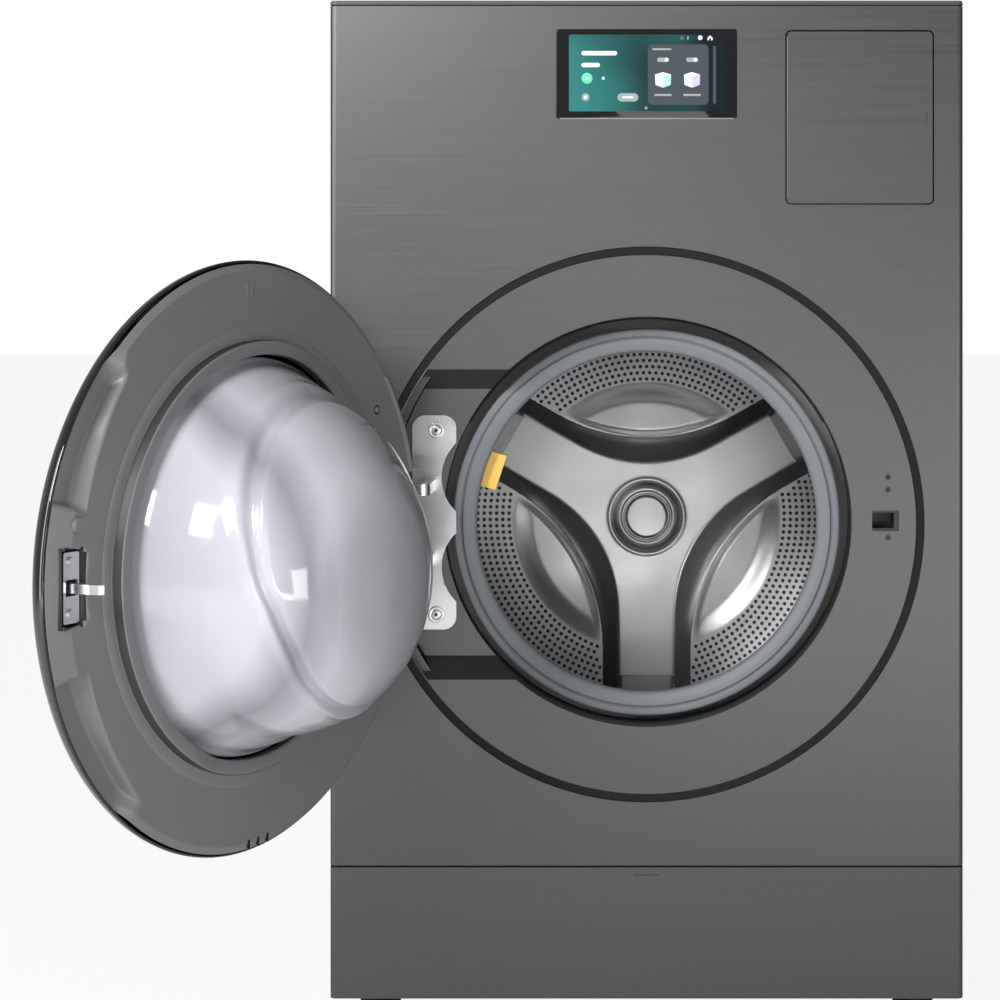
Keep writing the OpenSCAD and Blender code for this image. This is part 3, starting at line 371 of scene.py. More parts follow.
def window(a, a0, a1, w0, w1):
    """1 between a0 and a1, easing in over w0 and out over w1."""
    return smooth(a0 - w0 / 2, a0 + w0 / 2, a) * (1 - smooth(a1 - w1 / 2, a1 + w1 / 2, a))


def table(x, pts):
    """Straight-line interpolation in a sorted list of (x, value)."""
    if x <= pts[0][0]:
        return pts[0][1]
    for (xa, va), (xb, vb) in zip(pts, pts[1:]):
        if x <= xb:
            return va + (vb - va) * (x - xa) / (xb - xa)
    return pts[-1][1]


def polar_sheet(radii, angles, height, wrap=True):
    verts, faces = [], []
    m = len(radii)
    for a in angles:
        c, s = math.cos(math.radians(a)), math.sin(math.radians(a))
        for r in radii:
            verts.append((r * c, height(r, a), r * s))
    n = len(angles)
    for i in range(n if wrap else n - 1):
        j = (i + 1) % n
        for k in range(m - 1):
            faces.append((i * m + k, i * m + k + 1, j * m + k + 1, j * m + k))
    return verts, faces


# ---------------------------------------------------------------- door
BOWL_R = DOOR_R - 91
RIM_ARC = (-180 + 12.9, 180 - 12.9)
FRONT = BACK - 43


def wrapped(a):
    return (a + 180.0) % 360.0 - 180.0


# radius of a finger grip's inner wall against the angle from the free side
GRIP_WALL = [(15, 243.0), (21, 244.5), (30, 246.5), (38, 250.5), (42, 252.0), (48, 256.0)]


def trim_height(r, a):
    """Depth of the inner trim's face: flat ring, rim bevel, two finger grips, a shallow bay between them."""
    a = wrapped(a)
    wide = window(a, -45, 45, 5, 5)
    edge = DOOR_R - 3.5
    start = edge - 6.5 - 14.5 * wide
    y = BACK - (4.0 + 3.6 * wide) * max(0.0, min(1.0, (r - start) / (edge - start)))
    grip = max(window(a, 15.2, 42.8, 1.2, 4.0), window(a, -47.5, -17.6, 6.0, 1.2))
    if grip > 0:
        inner = table(abs(a), GRIP_WALL)
        valley = max(inner + 5, 255.0)
        depth = table(r, [(inner, BACK), (inner + 1.2, BACK - 2.0), (valley - 1.5, BACK - 12.2),
                          (valley, BACK - 13.2), (valley + 3.5, BACK - 13.0), (DOOR_R - 9, BACK - 11.2),
                          (edge, BACK - 10.6)])
        y = y * (1 - grip) + min(y, depth) * grip
    hinge = window(abs(a), 143, 200, 1.2, 1.0)
    y += 2.4 * hinge * smooth(DOOR_R - 13, DOOR_R - 12, r) * (1 - smooth(DOOR_R - 4.2, DOOR_R - 3.6, r))
    # two short bars raised on the flat ring
    px, pz = r * math.cos(math.radians(a)), r * math.sin(math.radians(a))
    for bx in (9.7, 15.1):
        y += 0.9 * (1 - smooth(0.9, 1.6, abs(px - bx))) * (1 - smooth(6.0, 6.8, abs(pz - 251.6)))
    return y


def steps_between(pairs):
    out = []
    for a, b, n in pairs:
        out += [a + (b - a) * k / n for k in range(n)]
    return out + [pairs[-1][1]]


trim_radii = steps_between([(BOWL_R + 8, 240, 10), (240, 260, 22), (260, DOOR_R - 14, 6),
                            (DOOR_R - 14, DOOR_R - 3.5, 12)])
trim_angles = [k * 0.5 for k in range(720)]
verts, faces = polar_sheet(trim_radii, trim_angles, trim_height)
# the latch recess and the hinge slot are cut out of the sheet
LATCH = 249.0


def open_cell(f):
    cx = sum(verts[i][0] for i in f) / 4
    cz = sum(verts[i][2] for i in f) / 4
    in_latch = LATCH - 13 < cx < LATCH + 15 and abs(cz) < 33
    in_hinge = cx < -DOOR_R + 60 and abs(cz) < 61
    return in_latch or in_hinge


faces = [f for f in faces if not open_cell(f)]
trim = piece("trim_face", verts, faces, "grey_plastic", "door", place=DOOR, sharp=60)
sol = trim.modifiers.new("wall", "SOLIDIFY")
sol.thickness = 0.0022
sol.offset = -1
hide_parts("door_trim")


def open_box(name, x0, z0, x1, z1, y_open, y_floor, mat, body, place):
    """Five thin sides of a sunk box, open towards +Y."""
    v = [(x0, y_open, z0), (x1, y_open, z0), (x1, y_open, z1), (x0, y_open, z1),
         (x0, y_floor, z0), (x1, y_floor, z0), (x1, y_floor, z1), (x0, y_floor, z1)]
    f = [(0, 1, 5, 4), (1, 2, 6, 5), (2, 3, 7, 6), (3, 0, 4, 7), (4, 5, 6, 7)]
    o = piece(name, v, f, mat, body, place=place, sharp=30)
    s = o.modifiers.new("wall", "SOLIDIFY")
    s.thickness = 0.001
    s.offset = 1
    return o


open_box("latch_recess", LATCH - 13.2, -33.2, LATCH + 15.2, 33.2, BACK - 0.4, BACK - 13,
         "dark_plastic", "door", DOOR)

# each point is how far it lies inside the door's radius, and its depth
RIM_OUTSIDE = [(34, FRONT + 4), (34, FRONT + 0.3), (28, FRONT + 1.3), (22, FRONT + 5), (16, FRONT + 10),
               (10, FRONT + 16), (4.5, FRONT + 22), (1, FRONT + 28), (0, FRONT + 33), (0, BACK - 8.6)]
RIM_INSIDE = [(0.7, BACK - 7.6), (2.9, BACK - 7.6), (3.3, BACK - 10), (4.5, FRONT + 31), (10, FRONT + 23),
              (22, FRONT + 9), (34, FRONT + 6)]
rim_profile = soften([(DOOR_R - d, y) for d, y in RIM_OUTSIDE + RIM_INSIDE], 2.5, 4)
lathe("door_rim_gloss", rim_profile, "gloss_black", "door", ["door_rim"], DOOR, 256, RIM_ARC)
DISC_R = DOOR_R - 34.6
DISC_PROFILE = [(0.01, FRONT + 1.0), (DOOR_R - 36.0, FRONT + 1.0), (DISC_R, FRONT + 2.2),
                (DISC_R, FRONT + 5.0), (0.01, FRONT + 5.0)]
lathe("door_front_disc", soften(DISC_PROFILE, 0.8, 2, closed=False), "tinted_glass", "door", ["door_glass"],
      DOOR, 256)
BRIGHT_RING = [(DOOR_R - d, FRONT + y) for d, y in ((34.3, 1.2), (34.3, 2.6), (36.4, 2.6), (36.4, 1.2))]
lathe("door_front_ring", BRIGHT_RING, "bright_steel", "door", (), DOOR, 256)


def ring_rise(a):
    return 2.5 + 8.0 * window(wrapped(a), -66, 112, 20, 30)


ring_angles = [k * 1.0 for k in range(360)]
# distance outside the bowl's radius, and height over the trim (first five) or over the raised ring
RING_OUTLINE = [(27, 0.0), (25.5, 0.9), (17, 1.0), (15.6, 1.2), (15.0, 2.0), (14.6, -1.0), (13.6, -0.2),
                (12.2, 0.0), (3.4, 0.0), (2.2, -0.6), (1.6, -2.2), (1.2, -9.0)]
ring_profile = [(BOWL_R + d, dy) for d, dy in RING_OUTLINE]
verts, faces = [], []
for a in ring_angles:
    c, s = math.cos(math.radians(a)), math.sin(math.radians(a))
    rise = BACK + 1.0 + ring_rise(a)
    for i, (r, dy) in enumerate(ring_profile):
        y = (rise if i > 4 else BACK) + dy
        verts.append((r * c, y, r * s))
m_count = len(ring_profile)
for i in range(len(ring_angles)):
    j = (i + 1) % len(ring_angles)
    for k in range(m_count - 1):
        faces.append((i * m_count + k, i * m_count + k + 1, j * m_count + k + 1, j * m_count + k))
bezel = piece("bowl_ring", verts, faces, "grey_plastic", "door", ["bowl_bezel"], DOOR, 80)
# the step wall on the ring's outside gets the dark material as painted shade; the lip down to the glass is dark
# too
bezel.data.materials.append(MATS["dark_frame"])
to_door = DOOR.inverted()
for p in bezel.data.polygons:
    corners = [to_door @ bezel.data.vertices[v].co for v in p.vertices]
    radius = sum(math.hypot(c.x, c.z) for c in corners) / 4 / MM
    if BOWL_R + 14.3 < radius < BOWL_R + 15.4 or radius < BOWL_R + 1.7:
        p.material_index = 1

# glass bowl: a tilted dish with a flatter face inside a curved crease
# depth and radius of the dish, then the crease's radius against its angle
BOWL_DEPTH = 152.0
BOWL_PROFILE = [(0, 188.6), (4, 187.4), (10, 183.0), (25, 176.5), (50, 163.0), (75, 153.5), (100, 139.5),
                (120, 119.5), (135, 102.0), (145, 82.0), (150, 56.0), (151.6, 26.0), (BOWL_DEPTH, 0.0)]
CREASE = [(-180, 146), (-140, 139), (-100, 127), (-70, 117), (-54, 114), (-31, 114), (-20, 116), (-7, 121),
          (1, 127), (12, 133), (25, 140), (35, 144), (55, 150), (71, 153), (98, 158), (140, 156), (180, 146)]


def spline(pairs, t):
    """Catmull-Rom through evenly numbered points."""
    i = min(len(pairs) - 2, int(t))
    f = t - i
    p0, p1 = pairs[max(0, i - 1)], pairs[i]
    p2, p3 = pairs[i + 1], pairs[min(len(pairs) - 1, i + 2)]
    out = []
    for k in range(2):
        a, b, c, d = p0[k], p1[k], p2[k], p3[k]
        square = 2 * a - 5 * b + 4 * c - d
        cube = 3 * b - a - 3 * c + d
        out.append(0.5 * (2 * b + (c - a) * f + square * f * f + cube * f**3))
    return out


bowl_rows = []
for k in range(0, (len(BOWL_PROFILE) - 1) * 10 + 1):
    d, r = spline(BOWL_PROFILE, k / 10)
    bowl_rows.append((d, max(0.05, r)))
bowl_angles = [k * 1.25 for k in range(288)]
verts, faces = [], []
for a in bowl_angles:
    c, s = math.cos(math.radians(a)), math.sin(math.radians(a))
    crease_r = table(wrapped(a), CREASE)
    for d, r in bowl_rows:
        off = (crease_r - r) / 7.0
        ease = smooth(30, 90, r)
        push = ease * (3.0 * smooth(-0.3, 0.7, off) - 6.0 * math.exp(-((off + 0.1) * 2.0) ** 2)
                       + 3.4 * math.exp(-((off + 1.05) * 1.9) ** 2))
        depth = max(0.0, min(BOWL_DEPTH, d + push * (1 - r / 220.0) * 1.6))
        rad = r + push * 0.8 * (r / 190.0)
        drop = -20.0 * (d / BOWL_DEPTH) ** 1.5
        verts.append((rad * c, BACK - 7.8 + depth, drop + rad * s))
m_count = len(bowl_rows)
for i in range(len(bowl_angles)):
    j = (i + 1) % len(bowl_angles)
    for k in range(m_count - 1):
        faces.append((i * m_count + k, i * m_count + k + 1, j * m_count + k + 1, j * m_count + k))
bowl = piece("bowl_glass", verts, faces, "clear_glass", "door", ["glass_bowl"], DOOR, 180, local=True)
thick = bowl.modifiers.new("wall", "SOLIDIFY")
thick.thickness = 0.004
thick.offset = -1


# ---------------------------------------------------------------- gasket, seat and drum
SEAL_IN, SEAL_OUT = BOWL_R - 2, BOWL_R + 24
GASKET = SEAT @ Matrix.Translation((0, 0, -1.5 * MM))
LIP_PROFILE = [(SEAL_IN, 46), (SEAL_IN + 0.5, 42.5), (SEAL_IN + 3, 39.8), (SEAL_IN + 10, 37.4),
               (SEAL_IN + 15.2, 36.9), (SEAL_IN + 16.2, 39.2), (SEAL_IN + 17.0, 39.4), (SEAL_IN + 18.0, 37.0),
               (SEAL_OUT - 2, 36.4), (SEAL_OUT, 38), (SEAL_OUT, 73.5), (SEAL_OUT - 4, 73.5),
               (SEAL_OUT - 4, 58), (SEAL_IN + 6, 57), (SEAL_IN + 1, 52)]
BELLOWS_PROFILE = [(SEAL_OUT - 8.4, 22), (SEAL_OUT - 3.6, 20), (SEAL_OUT - 0.6, 26), (SEAL_OUT - 0.6, 60),
                   (SEAL_OUT + 2.4, 61), (SEAL_OUT + 2.4, 71.5), (SEAL_OUT - 6.5, 71.5), (SEAL_OUT - 10, 80),
                   (SEAL_IN + 11, 80), (SEAL_IN + 13, 70), (SEAL_IN + 9.5, 62), (SEAL_IN + 12, 52),
                   (SEAL_IN + 9.5, 43), (SEAL_IN + 12, 34)]
lathe("gasket_lip", soften(LIP_PROFILE, 1.6, 4), "grey_rubber", "cabinet", ["door_gasket"], GASKET, 256)
lathe("gasket_bellows", soften(BELLOWS_PROFILE, 3.0, 4), "grey_rubber", "cabinet", (), TUB, 192)

# star on the drum's back: three arms that flow into a hub, with sloping sides
BACK_T = 550.0
TOP_T = BACK_T - 34.0
ARM = 39.0
FLOOR_W = 60.0
TOP_FILLET = 188.0
FOOT_FILLET = 256.0
DRUM_R = 286.0


def fillet_edge(u, half_w, radius):
    """Distance from an arm's centre line to its edge, u along the arm; it widens in a curve at the hub."""
    centre_v = half_w + radius
    centre_u = centre_v / math.tan(math.radians(60))
    if u >= centre_u:
        return half_w
    return centre_v - math.sqrt(max(0.0, radius * radius - (centre_u - u) ** 2))


def star_rise(x, z):
    """0 on the flat back and 1 on the arms' faces."""
    best = 0.0
    for k in range(3):
        a = math.radians(270 + 120 * k)
        u = x * math.cos(a) + z * math.sin(a)
        v = abs(-x * math.sin(a) + z * math.cos(a))
        if u < -20:
            continue
        top = fillet_edge(u, ARM, TOP_FILLET)
        foot = fillet_edge(u, FLOOR_W, FOOT_FILLET)
        t = (foot - v) / max(1e-6, foot - top)
        best = max(best, min(1.0, max(0.0, t)))
    if math.hypot(x, z) < 66:
        best = 1.0
    return best


def star_y(r, a):
    x, z = r * math.cos(math.radians(a)), r * math.sin(math.radians(a))
    y = BACK_T + 0.6 - (BACK_T - TOP_T + 0.6) * star_rise(x, z)
    # the hub has a shallow dish round the cap
    dish = 5.5 * (1 - smooth(37, 48, r)) - 1.0 * math.exp(-((r - 50.5) / 2.6) ** 2)
    y += max(0.0, dish) if r < 49 else dish
    return y


star_radii = steps_between([(0.5, 34, 5), (34, 58, 22), (58, DRUM_R - 3, 116)])
star_angles = [k * 0.6 for k in range(600)]
verts, faces = polar_sheet(star_radii, star_angles, star_y)
floor_y = BACK_T + 0.59
faces = [f for f in faces if not all(verts[i][1] > floor_y for i in f)]
star = piece("star_shell", verts, faces, "stainless", "drum", ["drum_star"], TUB, 55)
fair = star.modifiers.new("fair", "SMOOTH")
fair.factor = 0.5
fair.iterations = 6

# cap on the hub
CAP_PROFILE = [(0.01, TOP_T - 1.6), (26.5, TOP_T - 1.6), (29.2, TOP_T + 0.2), (29.6, TOP_T + 6),
               (0.01, TOP_T + 6)]
HUB_RING_PROFILE = [(30.2, TOP_T + 6), (30.2, TOP_T + 1.2), (33.6, TOP_T + 0.4), (36.0, TOP_T + 2.5),
                    (36.0, TOP_T + 6)]
lathe("hub_cap", soften(CAP_PROFILE, 1.4, 4, closed=False), "star_cap_steel", "drum", ["star_cap"], TUB, 96)
lathe("hub_ring", soften(HUB_RING_PROFILE, 0.8, 3), "stainless", "drum", (), TUB, 96)


# drum back with real holes on rings
HOLE_R, PITCH, FIRST, ROWS = 2.65, 8.6, 190.0, 11


def hole_cell(r0, r1, a0, a1, count=12):
    """A patch between two radii and angles, with a round hole in its middle."""
    verts, faces = [], []
    rc, ac = (r0 + r1) / 2, (a0 + a1) / 2
    for k in range(count):
        t = 2 * math.pi * (k + 0.5) / count
        ca, sa = math.cos(t), math.sin(t)
        big = 1.0 / max(abs(ca), abs(sa))
        ro, ao = rc + (r1 - r0) / 2 * ca * big, ac + (a1 - a0) / 2 * sa * big
        verts.append((ro * math.cos(ao), BACK_T, ro * math.sin(ao)))
    for depth in (0.0, 1.5):
        for k in range(count):
            t = 2 * math.pi * (k + 0.5) / count
            x = rc + HOLE_R * math.cos(t)
            y = HOLE_R * math.sin(t)
            verts.append((x * math.cos(ac) - y * math.sin(ac), BACK_T + depth,
                          x * math.sin(ac) + y * math.cos(ac)))
    for k in range(count):
        j = (k + 1) % count
        faces.append((k, j, count + j, count + k))
        faces.append((count + k, count + j, 2 * count + j, 2 * count + k))
    return verts, faces


def beside_arm(x, z, k):
    """Distance from arm k's centre line, or a large number behind the hub."""
    turn = math.radians(270 + 120 * k)
    if x * math.cos(turn) + z * math.sin(turn) <= 0:
        return 999
    return abs(-x * math.sin(turn) + z * math.cos(turn))


def solid_cell(r0, r1, a0, a1):
    v = [(r * math.cos(a), BACK_T, r * math.sin(a)) for r, a in ((r0, a0), (r1, a0), (r1, a1), (r0, a1))]
    return v, [(0, 1, 2, 3)]


verts, faces = [], []
for row in range(ROWS):
    r0 = FIRST - PITCH / 2 + PITCH * row
    r1 = min(r0 + PITCH, DRUM_R - 2.2)
    rc = (r0 + r1) / 2
    cells = int(2 * math.pi * rc / PITCH / 3) * 3
    step = 2 * math.pi / cells
    for i in range(cells):
        am = (i + 0.5 * (row % 2)) * step + math.pi / 2
        x, z = rc * math.cos(am), rc * math.sin(am)
        near = min(beside_arm(x, z, k) for k in range(3))
        along = math.sqrt(max(0.0, rc * rc - min(near, rc) ** 2))
        foot = fillet_edge(along, FLOOR_W, FOOT_FILLET)
        if near > foot + 4.0 and rc < DRUM_R - 8:
            v, f = hole_cell(r0, r1, am - step / 2, am + step / 2)
        else:
            v, f = solid_cell(r0, r1, am - step / 2, am + step / 2)
        base = len(verts)
        verts += v
        faces += [tuple(base + q for q in g) for g in f]
plate = piece("back_plate", verts, faces, "stainless", "drum", ["drum_back"], TUB, 40)


def gap_to_foot(x, z):
    """How far a point of the drum's back lies outside the foot of the nearest arm."""
    gap = 999.0
    for k in range(3):
        a = math.radians(270 + 120 * k)
        u = x * math.cos(a) + z * math.sin(a)
        v = abs(-x * math.sin(a) + z * math.cos(a))
        if u > -20:
            gap = min(gap, v - fillet_edge(u, FLOOR_W, FOOT_FILLET))
    return max(0.0, gap)


# smooth bulged fields inside the holes
def bulge_y(r, a):
    x, z = r * math.cos(math.radians(a)), r * math.sin(math.radians(a))
    d = FIRST - PITCH / 2 - r
    k = min(range(3), key=lambda q: abs(wrapped(a - 90 - 120 * q)))
    side = 1 - smooth(0.0, 0.75, abs(wrapped(a - 90 - 120 * k)) / 60.0)
    swell = smooth(0, 30, d) * (0.35 + 0.65 * side) * smooth(0.0, 12.0, gap_to_foot(x, z))
    return BACK_T + 0.3 - 7.0 * swell


bulge_radii = steps_between([(92, FIRST - PITCH / 2, 44)])
verts, faces = polar_sheet(bulge_radii, [k * 1.0 for k in range(360)], bulge_y)
piece("back_fields", verts, faces, "stainless", "drum", (), TUB, 60)
SHADE_PROFILE = [(FIRST - 12, BACK_T + 2.6), (DRUM_R - 3, BACK_T + 2.6), (DRUM_R - 3, BACK_T + 3.2),
                 (FIRST - 12, BACK_T + 3.2)]
lathe("back_shade", SHADE_PROFILE, "dark_plastic", "drum", (), TUB, 96)


# drum wall, smooth, seen through the mouth
WALL_PROFILE = [(SEAL_IN + 14, 82), (SEAL_IN + 19, 79.2), (SEAL_IN + 22, 82), (DRUM_R - 22, 92),
                (DRUM_R - 2, 102), (DRUM_R, 112), (DRUM_R, 551.8), (DRUM_R - 1.5, 551.8), (DRUM_R - 1.5, 113),
                (DRUM_R - 4, 104), (DRUM_R - 23, 94), (SEAL_IN + 14, 84.5)]
lathe("drum_wall", soften(WALL_PROFILE, 3.0, 3), "stainless", "drum", ["drum_shell"], TUB, 192)

# lifters: rounded hollow bars whose tops meet the arms
LIFT_H = 71.0
LIFT_TOP = DRUM_R - 1.8 - LIFT_H
HALF_SECTION = [(-53, LIFT_TOP + LIFT_H), (-41, LIFT_TOP + 12), (-36.5, LIFT_TOP)]
lift_outline = HALF_SECTION + [(-x, r) for x, r in reversed(HALF_SECTION)]
lift_section = soften(lift_outline, 5.0, 5, closed=False)
for k in range(3):
    turn = Matrix.Rotation(math.radians(120 * k), 4, "Y")
    verts, faces = [], []
    ts = [116.2, 118.5, 124.0] + [124 + 389 * q / 16 for q in range(1, 17)]
    for t in ts:
        ease = smooth(116.0, 126.0, t)
        for x, rad in lift_section:
            rad2 = LIFT_TOP + LIFT_H - (LIFT_TOP + LIFT_H - rad) * (0.72 + 0.28 * ease)
            verts.append((x * (0.93 + 0.07 * ease), t, -rad2))
    n = len(lift_section)
    for i in range(len(ts) - 1):
        for q in range(n - 1):
            faces.append((i * n + q, i * n + q + 1, (i + 1) * n + q + 1, (i + 1) * n + q))
    faces.append(tuple(range(n)))
    faces.append(tuple((len(ts) - 1) * n + q for q in reversed(range(n))))
    stands_for = ["lifters"] if k == 0 else ()
    piece("lifter_%d" % k, verts, faces, "lifter_dark", "drum", stands_for, TUB @ turn, sharp=50)
# ---------------------------------------------------------------- display
GLASS_Y = (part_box("display_glass")[0].y - FACE_Y) / MM
DX0 = (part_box("display_glass")[0].x - MIDDLE.x) / MM
DX1 = (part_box("display_glass")[1].x - MIDDLE.x) / MM
DZ0, DZ1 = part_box("display_glass")[0].z / MM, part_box("display_glass")[1].z / MM
SX0 = (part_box("display_screen")[0].x - MIDDLE.x) / MM
SX1 = (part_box("display_screen")[1].x - MIDDLE.x) / MM
SZ0, SZ1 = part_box("display_screen")[0].z / MM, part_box("display_screen")[1].z / MM
slab("display_cover", round_rect(DX0, DZ0, DX1, DZ1, 3.0), GLASS_Y + 0.12, GLASS_Y + 4.4, 0.5,
     "tinted_glass", "cabinet", ["display_glass"])
slab("display_picture", round_rect(SX0, SZ0, SX1, SZ1, 1.2, 3), GLASS_Y + 0.08, GLASS_Y + 0.5, 0,
     "screen_face", "cabinet", ["display_screen"])


def mark(name, outline, mat, level=0):
    """A thin sign on the display; x from the screen's middle, z from its lower edge."""
    raised = [(x, SZ0 + z) for x, z in outline]
    slab(name, raised, GLASS_Y + 0.06 - 0.02 * level, GLASS_Y + 0.3, 0, mat, "cabinet")


def bar(name, x0, z0, x1, z1, mat="ui_white", level=1):
    mark(name, round_rect(x0, z0, x1, z1, min(x1 - x0, z1 - z0) * 0.48, 3), mat, level)


mark("ui_card", round_rect(1.3, 7.0, 67.0, 72.4, 5.0), "ui_card", 0)
bar("ui_strip", 71.8, 8.0, 75.2, 71.0, "ui_card", 0)
bar("ui_line_0", -70.5, 60.6, -32.0, 65.2)
bar("ui_line_1", -70.5, 47.8, -50.5, 52.4)
mark("ui_play", ring_pts(-64.5, 35.8, 5.9), "ui_green", 1)
mark("ui_play_tip", [(-66.0, 33.4), (-61.9, 35.8), (-66.0, 38.2)], "ui_white", 2)
mark("ui_dot_0", ring_pts(-46.9, 35.8, 1.7), "ui_mint", 1)
mark("ui_circle", ring_pts(-66.1, 15.3, 4.2), "ui_grey", 1)
mark("ui_circle_in", ring_pts(-66.1, 15.3, 1.7), "ui_white", 2)
bar("ui_pill", -31.6, 10.6, -8.9, 19.6, "ui_grey", 1)
bar("ui_pill_line", -26.5, 14.3, -14.0, 16.0, "ui_white", 2)
mark("ui_page", ring_pts(-0.6, 3.6, 1.5), "ui_grey", 1)
bar("ui_title", 6.0, 66.2, 27.0, 68.2, "ui_grey", 1)
for k, x in enumerate((17.7, 49.1)):
    tone = ("ui_mint", "ui_lilac")[k]
    bar("ui_switch_%d" % k, x - 6.5, 53.4, x + 6.5, 58.2, "ui_grey", 1)
    mark("ui_knob_%d" % k, ring_pts(x + 3.9, 55.8, 2.0), "ui_white", 2)
    top = [(x - 8.6, 39.8), (x + 0.4, 37.0), (x + 8.8, 39.8), (x - 0.2, 42.4)]
    left = [(x - 8.6, 39.6), (x - 8.0, 28.6), (x + 0.3, 25.6), (x + 0.3, 36.8)]
    right = [(x + 0.5, 36.8), (x + 0.5, 25.6), (x + 8.3, 28.6), (x + 8.8, 39.6)]
    mark("ui_cube_top_%d" % k, top, "ui_white", 2)
    mark("ui_cube_left_%d" % k, left, "ui_white", 1)
    mark("ui_cube_right_%d" % k, right, tone, 1)
    bar("ui_name_%d" % k, x - 9.5, 16.6, x + 9.5, 18.8, "ui_grey", 1)
mark("ui_icon_0", ring_pts(38.3, 79.4, 2.0, 16), "ui_slate", 1)
bar("ui_icon_1", 44.0, 77.4, 45.4, 81.4, "ui_grey", 1)
mark("ui_icon_2", ring_pts(58.0, 79.6, 2.5, 20), "ui_white", 1)
HOUSE = [(65.9, 76.9), (65.9, 79.6), (68.6, 82.2), (71.3, 79.6), (71.3, 76.9),
         (69.7, 76.9), (69.7, 78.9), (67.5, 78.9), (67.5, 76.9)]
mark("ui_icon_3", HOUSE, "ui_white", 1)
bar("display_lip", DX0 + 4, DZ0 - 0.6 - SZ0, DX1 - 3, DZ0 + 0.25 - SZ0, "ui_grey", 1)

# ---------------------------------------------------------------- groove, seat edge and panel edges
SHADE_RING = [(0.4, 8.6), (0.4, 1.0), (0.9, 1.6), (8.5, 1.6), (9.1, 1.0), (9.1, 8.6)]
OUTER_EDGE = [(9.0, 1.3), (9.0, 0.35), (9.7, -0.05), (9.7, 1.3)]
INNER_EDGE = [(-0.9, 1.3), (-0.9, -0.05), (0.3, 0.3), (0.3, 1.3)]


def round_seat(outline):
    return [(SEAT_R + d, y) for d, y in outline]


lathe("groove_shade", round_seat(SHADE_RING), "groove_dark", "cabinet", (), SEAT, 256)
lathe("groove_outer_edge", soften(round_seat(OUTER_EDGE), 0.3, 2), "inox_front", "cabinet", (), SEAT, 256)
lathe("groove_inner_edge", soften(round_seat(INNER_EDGE), 0.3, 2), "inox_front", "cabinet", (), SEAT, 256)

# push marks on the drawer front and the filter door
PANEL_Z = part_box("drawer_front")[1].z / MM
slab("drawer_mark", round_rect(-14, PANEL_Z - 9.0, 14, PANEL_Z - 7.0, 0.9), -0.12, 0.3, 0,
     "dark_frame", "drawer")
FX1 = (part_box("filter_door")[1].x - MIDDLE.x) / MM
FZ1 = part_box("filter_door")[1].z / MM
slab("filter_mark", round_rect(FX1 - 7.4, FZ1 - 101, FX1 - 5.8, FZ1 - 86, 0.7), -0.12, 0.3, 0,
     "dark_frame", "filter_panel")

# dark screws on the lock side of the seat, bright ones with washers in the hinge plate
LOCK_X = mid("door_lock", 0) - mid("front_panel", 0) + 5.5
PLATE_X = (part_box("hinge_plate")[0].x - MIDDLE.x) / MM + 26
PLATE_H = 2 * half("hinge_plate", 2)
PLATE_Y = (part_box("hinge_plate")[0].y - FACE_Y) / MM


def screw(name, x, z, y, r, mat, drive_shade_mat, slots, nodes=()):
    at = SEAT @ Matrix.Translation((x * MM, y * MM, z * MM))
    head = [(0.01, -0.9), (r * 0.55, -0.9), (r * 0.8, -0.6), (r, 0.2), (r, 0.6), (0.01, 0.6)]
    lathe(name, soften(head, 0.4, 3, closed=False), mat, "cabinet", nodes, at, 32)
    # the drive is not cut into the head: a thin dark star on its face stands in for it as painted shade of the
    # recess
    star_pts = []
    for k in range(2 * slots):
        rr = r * (0.5 if k % 2 == 0 else 0.26)
        star_pts.append((rr * math.cos(math.pi * k / slots), rr * math.sin(math.pi * k / slots)))
    slab(name + "_drive", star_pts, -0.95, -0.7, 0, drive_shade_mat, "cabinet", (), at)


for k, z in enumerate((51.4, 37.8, -14.0)):
    stands_for = ["seat_screws"] if k == 0 else ()
    screw("lock_screw_%d" % k, LOCK_X, z, 0.35, 3.9, "dark_frame", "gloss_black", 4, stands_for)
for k, z in enumerate((0.43, -0.43)):
    screw("plate_screw_%d" % k, PLATE_X, z * PLATE_H, PLATE_Y - 1.2, 6.0, "bright_steel", "dark_frame", 6)
    washer = [(5.4, -1.2), (8.6, -1.2), (9.2, 0.1), (5.4, 0.1)]
    lathe("plate_washer_%d" % k, soften(washer, 0.5, 2), "bright_steel", "cabinet", (),
          SEAT @ Matrix.Translation((PLATE_X * MM, PLATE_Y * MM, z * PLATE_H * MM)), 40)

# drain slots near the door's lowest point and a peg in the ring; the slots are thin black plates laid on the trim,
# not cut, and their black is painted shade of the openings
SLOT_R = 271.0
PEG = DOOR @ Matrix.Translation((-199.7 * MM, BACK * MM, 128.7 * MM))
for k, a in enumerate((-87.0, -90.0, -93.0)):
    c, d = SLOT_R * math.cos(math.radians(a)), SLOT_R * math.sin(math.radians(a))
    slab("drain_slot_%d" % k, round_rect(c - 1.5, d - 4.5, c + 1.5, d + 4.5, 1.4), BACK - 1.2, BACK + 0.25, 0,
         "gloss_black", "door", (), DOOR)
PEG_PROFILE = [(0.01, 2.0), (2.2, 1.8), (3.2, 0.4), (3.6, -1.0), (0.01, -1.0)]
lathe("trim_peg", soften(PEG_PROFILE, 0.5, 3, closed=False), "grey_plastic", "door", (), PEG, 24)
# the black ring round the peg is painted shade of the hole it sits in
PEG_HOLE = [(3.7, 0.15), (5.0, 0.15), (5.0, -0.6), (3.7, -0.6)]
lathe("trim_peg_hole", PEG_HOLE, "gloss_black", "door", (), PEG, 24)


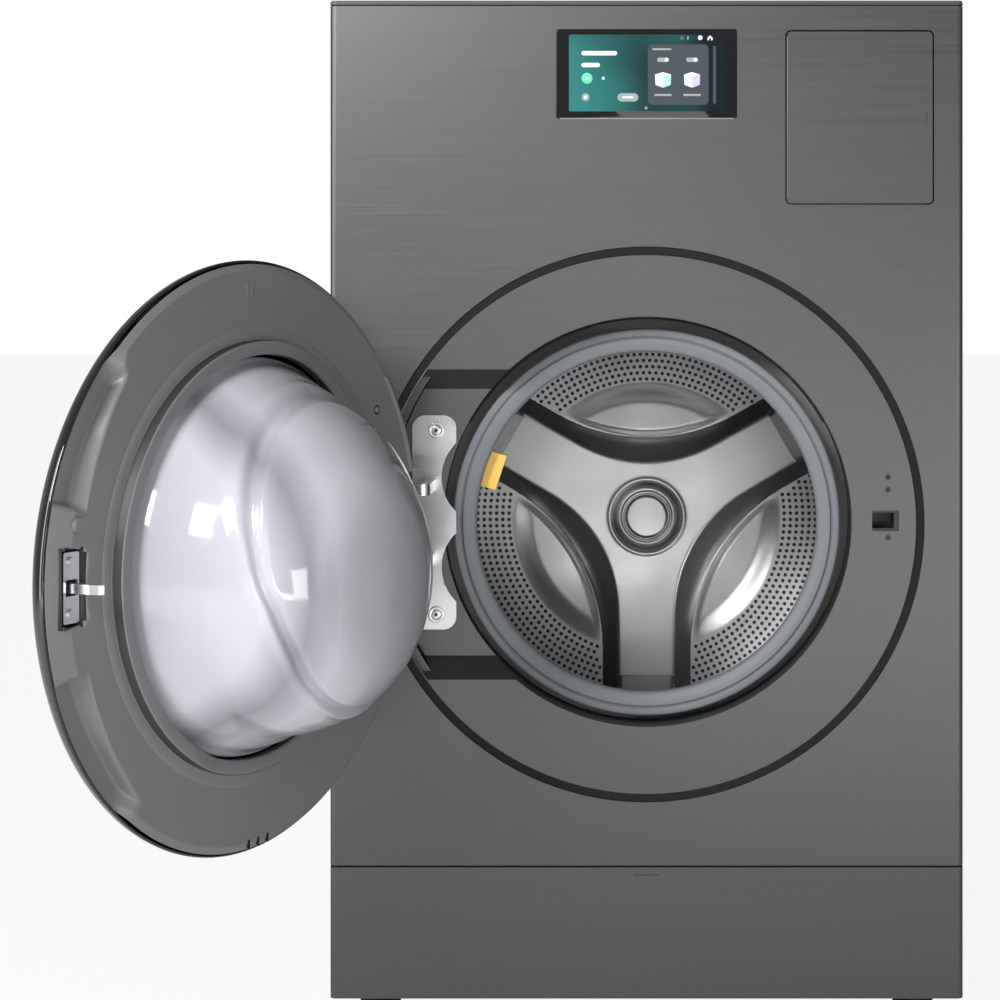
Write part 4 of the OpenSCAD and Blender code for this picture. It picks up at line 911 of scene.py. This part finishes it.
# ---------------------------------------------------------------- camera, floor and light
cam = bpy.data.cameras.new("camera")
cam_obj = bpy.data.objects.new("camera", cam)
scene.collection.objects.link(cam_obj)
CAM_D = 2.2
cam.sensor_width = 36.0
cam.lens = 36.0 * CAM_D / 1.082
cam.shift_x = -0.1466
cam.shift_y = -0.195
cam_obj.location = (MIDDLE.x, FACE_Y - CAM_D, 0.7805)
cam_obj.rotation_euler = (math.radians(90), 0, 0)
scene.camera = cam_obj

world = bpy.data.worlds.new("studio")
scene.world = world
world.use_nodes = True
wn, wl = world.node_tree.nodes, world.node_tree.links
glow = wn["Background"]
glow.inputs["Color"].default_value = (0.80, 0.80, 0.81, 1)
glow.inputs["Strength"].default_value = 0.31
plain = wn.new("ShaderNodeBackground")
plain.inputs["Color"].default_value = (1, 1, 1, 1)
ray = wn.new("ShaderNodeLightPath")
pick = wn.new("ShaderNodeMixShader")
wl.new(ray.outputs["Is Camera Ray"], pick.inputs[0])
wl.new(glow.outputs[0], pick.inputs[1])
wl.new(plain.outputs[0], pick.inputs[2])
wl.new(pick.outputs[0], wn["World Output"].inputs["Surface"])

bm = bmesh.new()
bmesh.ops.create_grid(bm, x_segments=2, y_segments=2, size=30)
me = bpy.data.meshes.new("floor")
bm.to_mesh(me)
floor = bpy.data.objects.new("floor", me)
ground, gn, gl, gb = new_mat("floor")
gb.inputs["Base Color"].default_value = (0.80, 0.80, 0.80, 1)
gb.inputs["Roughness"].default_value = 0.6
white = gn.new("ShaderNodeEmission")
white.inputs["Color"].default_value = (1, 1, 1, 1)
seen = gn.new("ShaderNodeLightPath")
share = gn.new("ShaderNodeMath")
share.operation = "MULTIPLY"
share.inputs[1].default_value = 0.9
mix = gn.new("ShaderNodeMixShader")
gl.new(seen.outputs["Is Camera Ray"], share.inputs[0])
gl.new(share.outputs[0], mix.inputs[0])
gl.new(gb.outputs[0], mix.inputs[1])
gl.new(white.outputs[0], mix.inputs[2])
gl.new(mix.outputs[0], gn["Material Output"].inputs["Surface"])
floor.data.materials.append(ground)
scene.collection.objects.link(floor)


def area(name, place, target, size, power, size_y=None):
    d = bpy.data.lights.new(name, "AREA")
    d.shape = "RECTANGLE"
    d.size = size
    d.size_y = size_y or size
    d.energy = power
    o = bpy.data.objects.new(name, d)
    o.location = MIDDLE + Vector(place)
    o.rotation_euler = (Vector(target) - Vector(place)).to_track_quat("-Z", "Y").to_euler()
    scene.collection.objects.link(o)
    return o


area("key_left", (-1.7, -3.0, 2.3), (0, 0, 0.9), 1.1, 115)
area("left_wide", (-3.2, -1.6, 1.1), (0, 0, 0.6), 1.6, 60, 2.4)
area("rim_right", (2.8, -1.6, 1.2), (0, 0, 0.5), 1.0, 5, 2.2)
area("bowl_fill", (1.7, -2.6, 0.45), (-0.45, -0.3, 0.5), 0.9, 16)
area("low_front", (0.5, -2.8, -0.05), (0.0, 0, 0.5), 1.4, 14, 0.4)
area("drum_light", (-0.05, -1.5, 0.42), (0.0, 0.45, 0.5), 0.35, 1.0)
area("drum_high", (0.0, -1.6, 0.92), (0.0, 0.45, 0.55), 0.5, 1.3)
scene.view_settings.view_transform = "Standard"
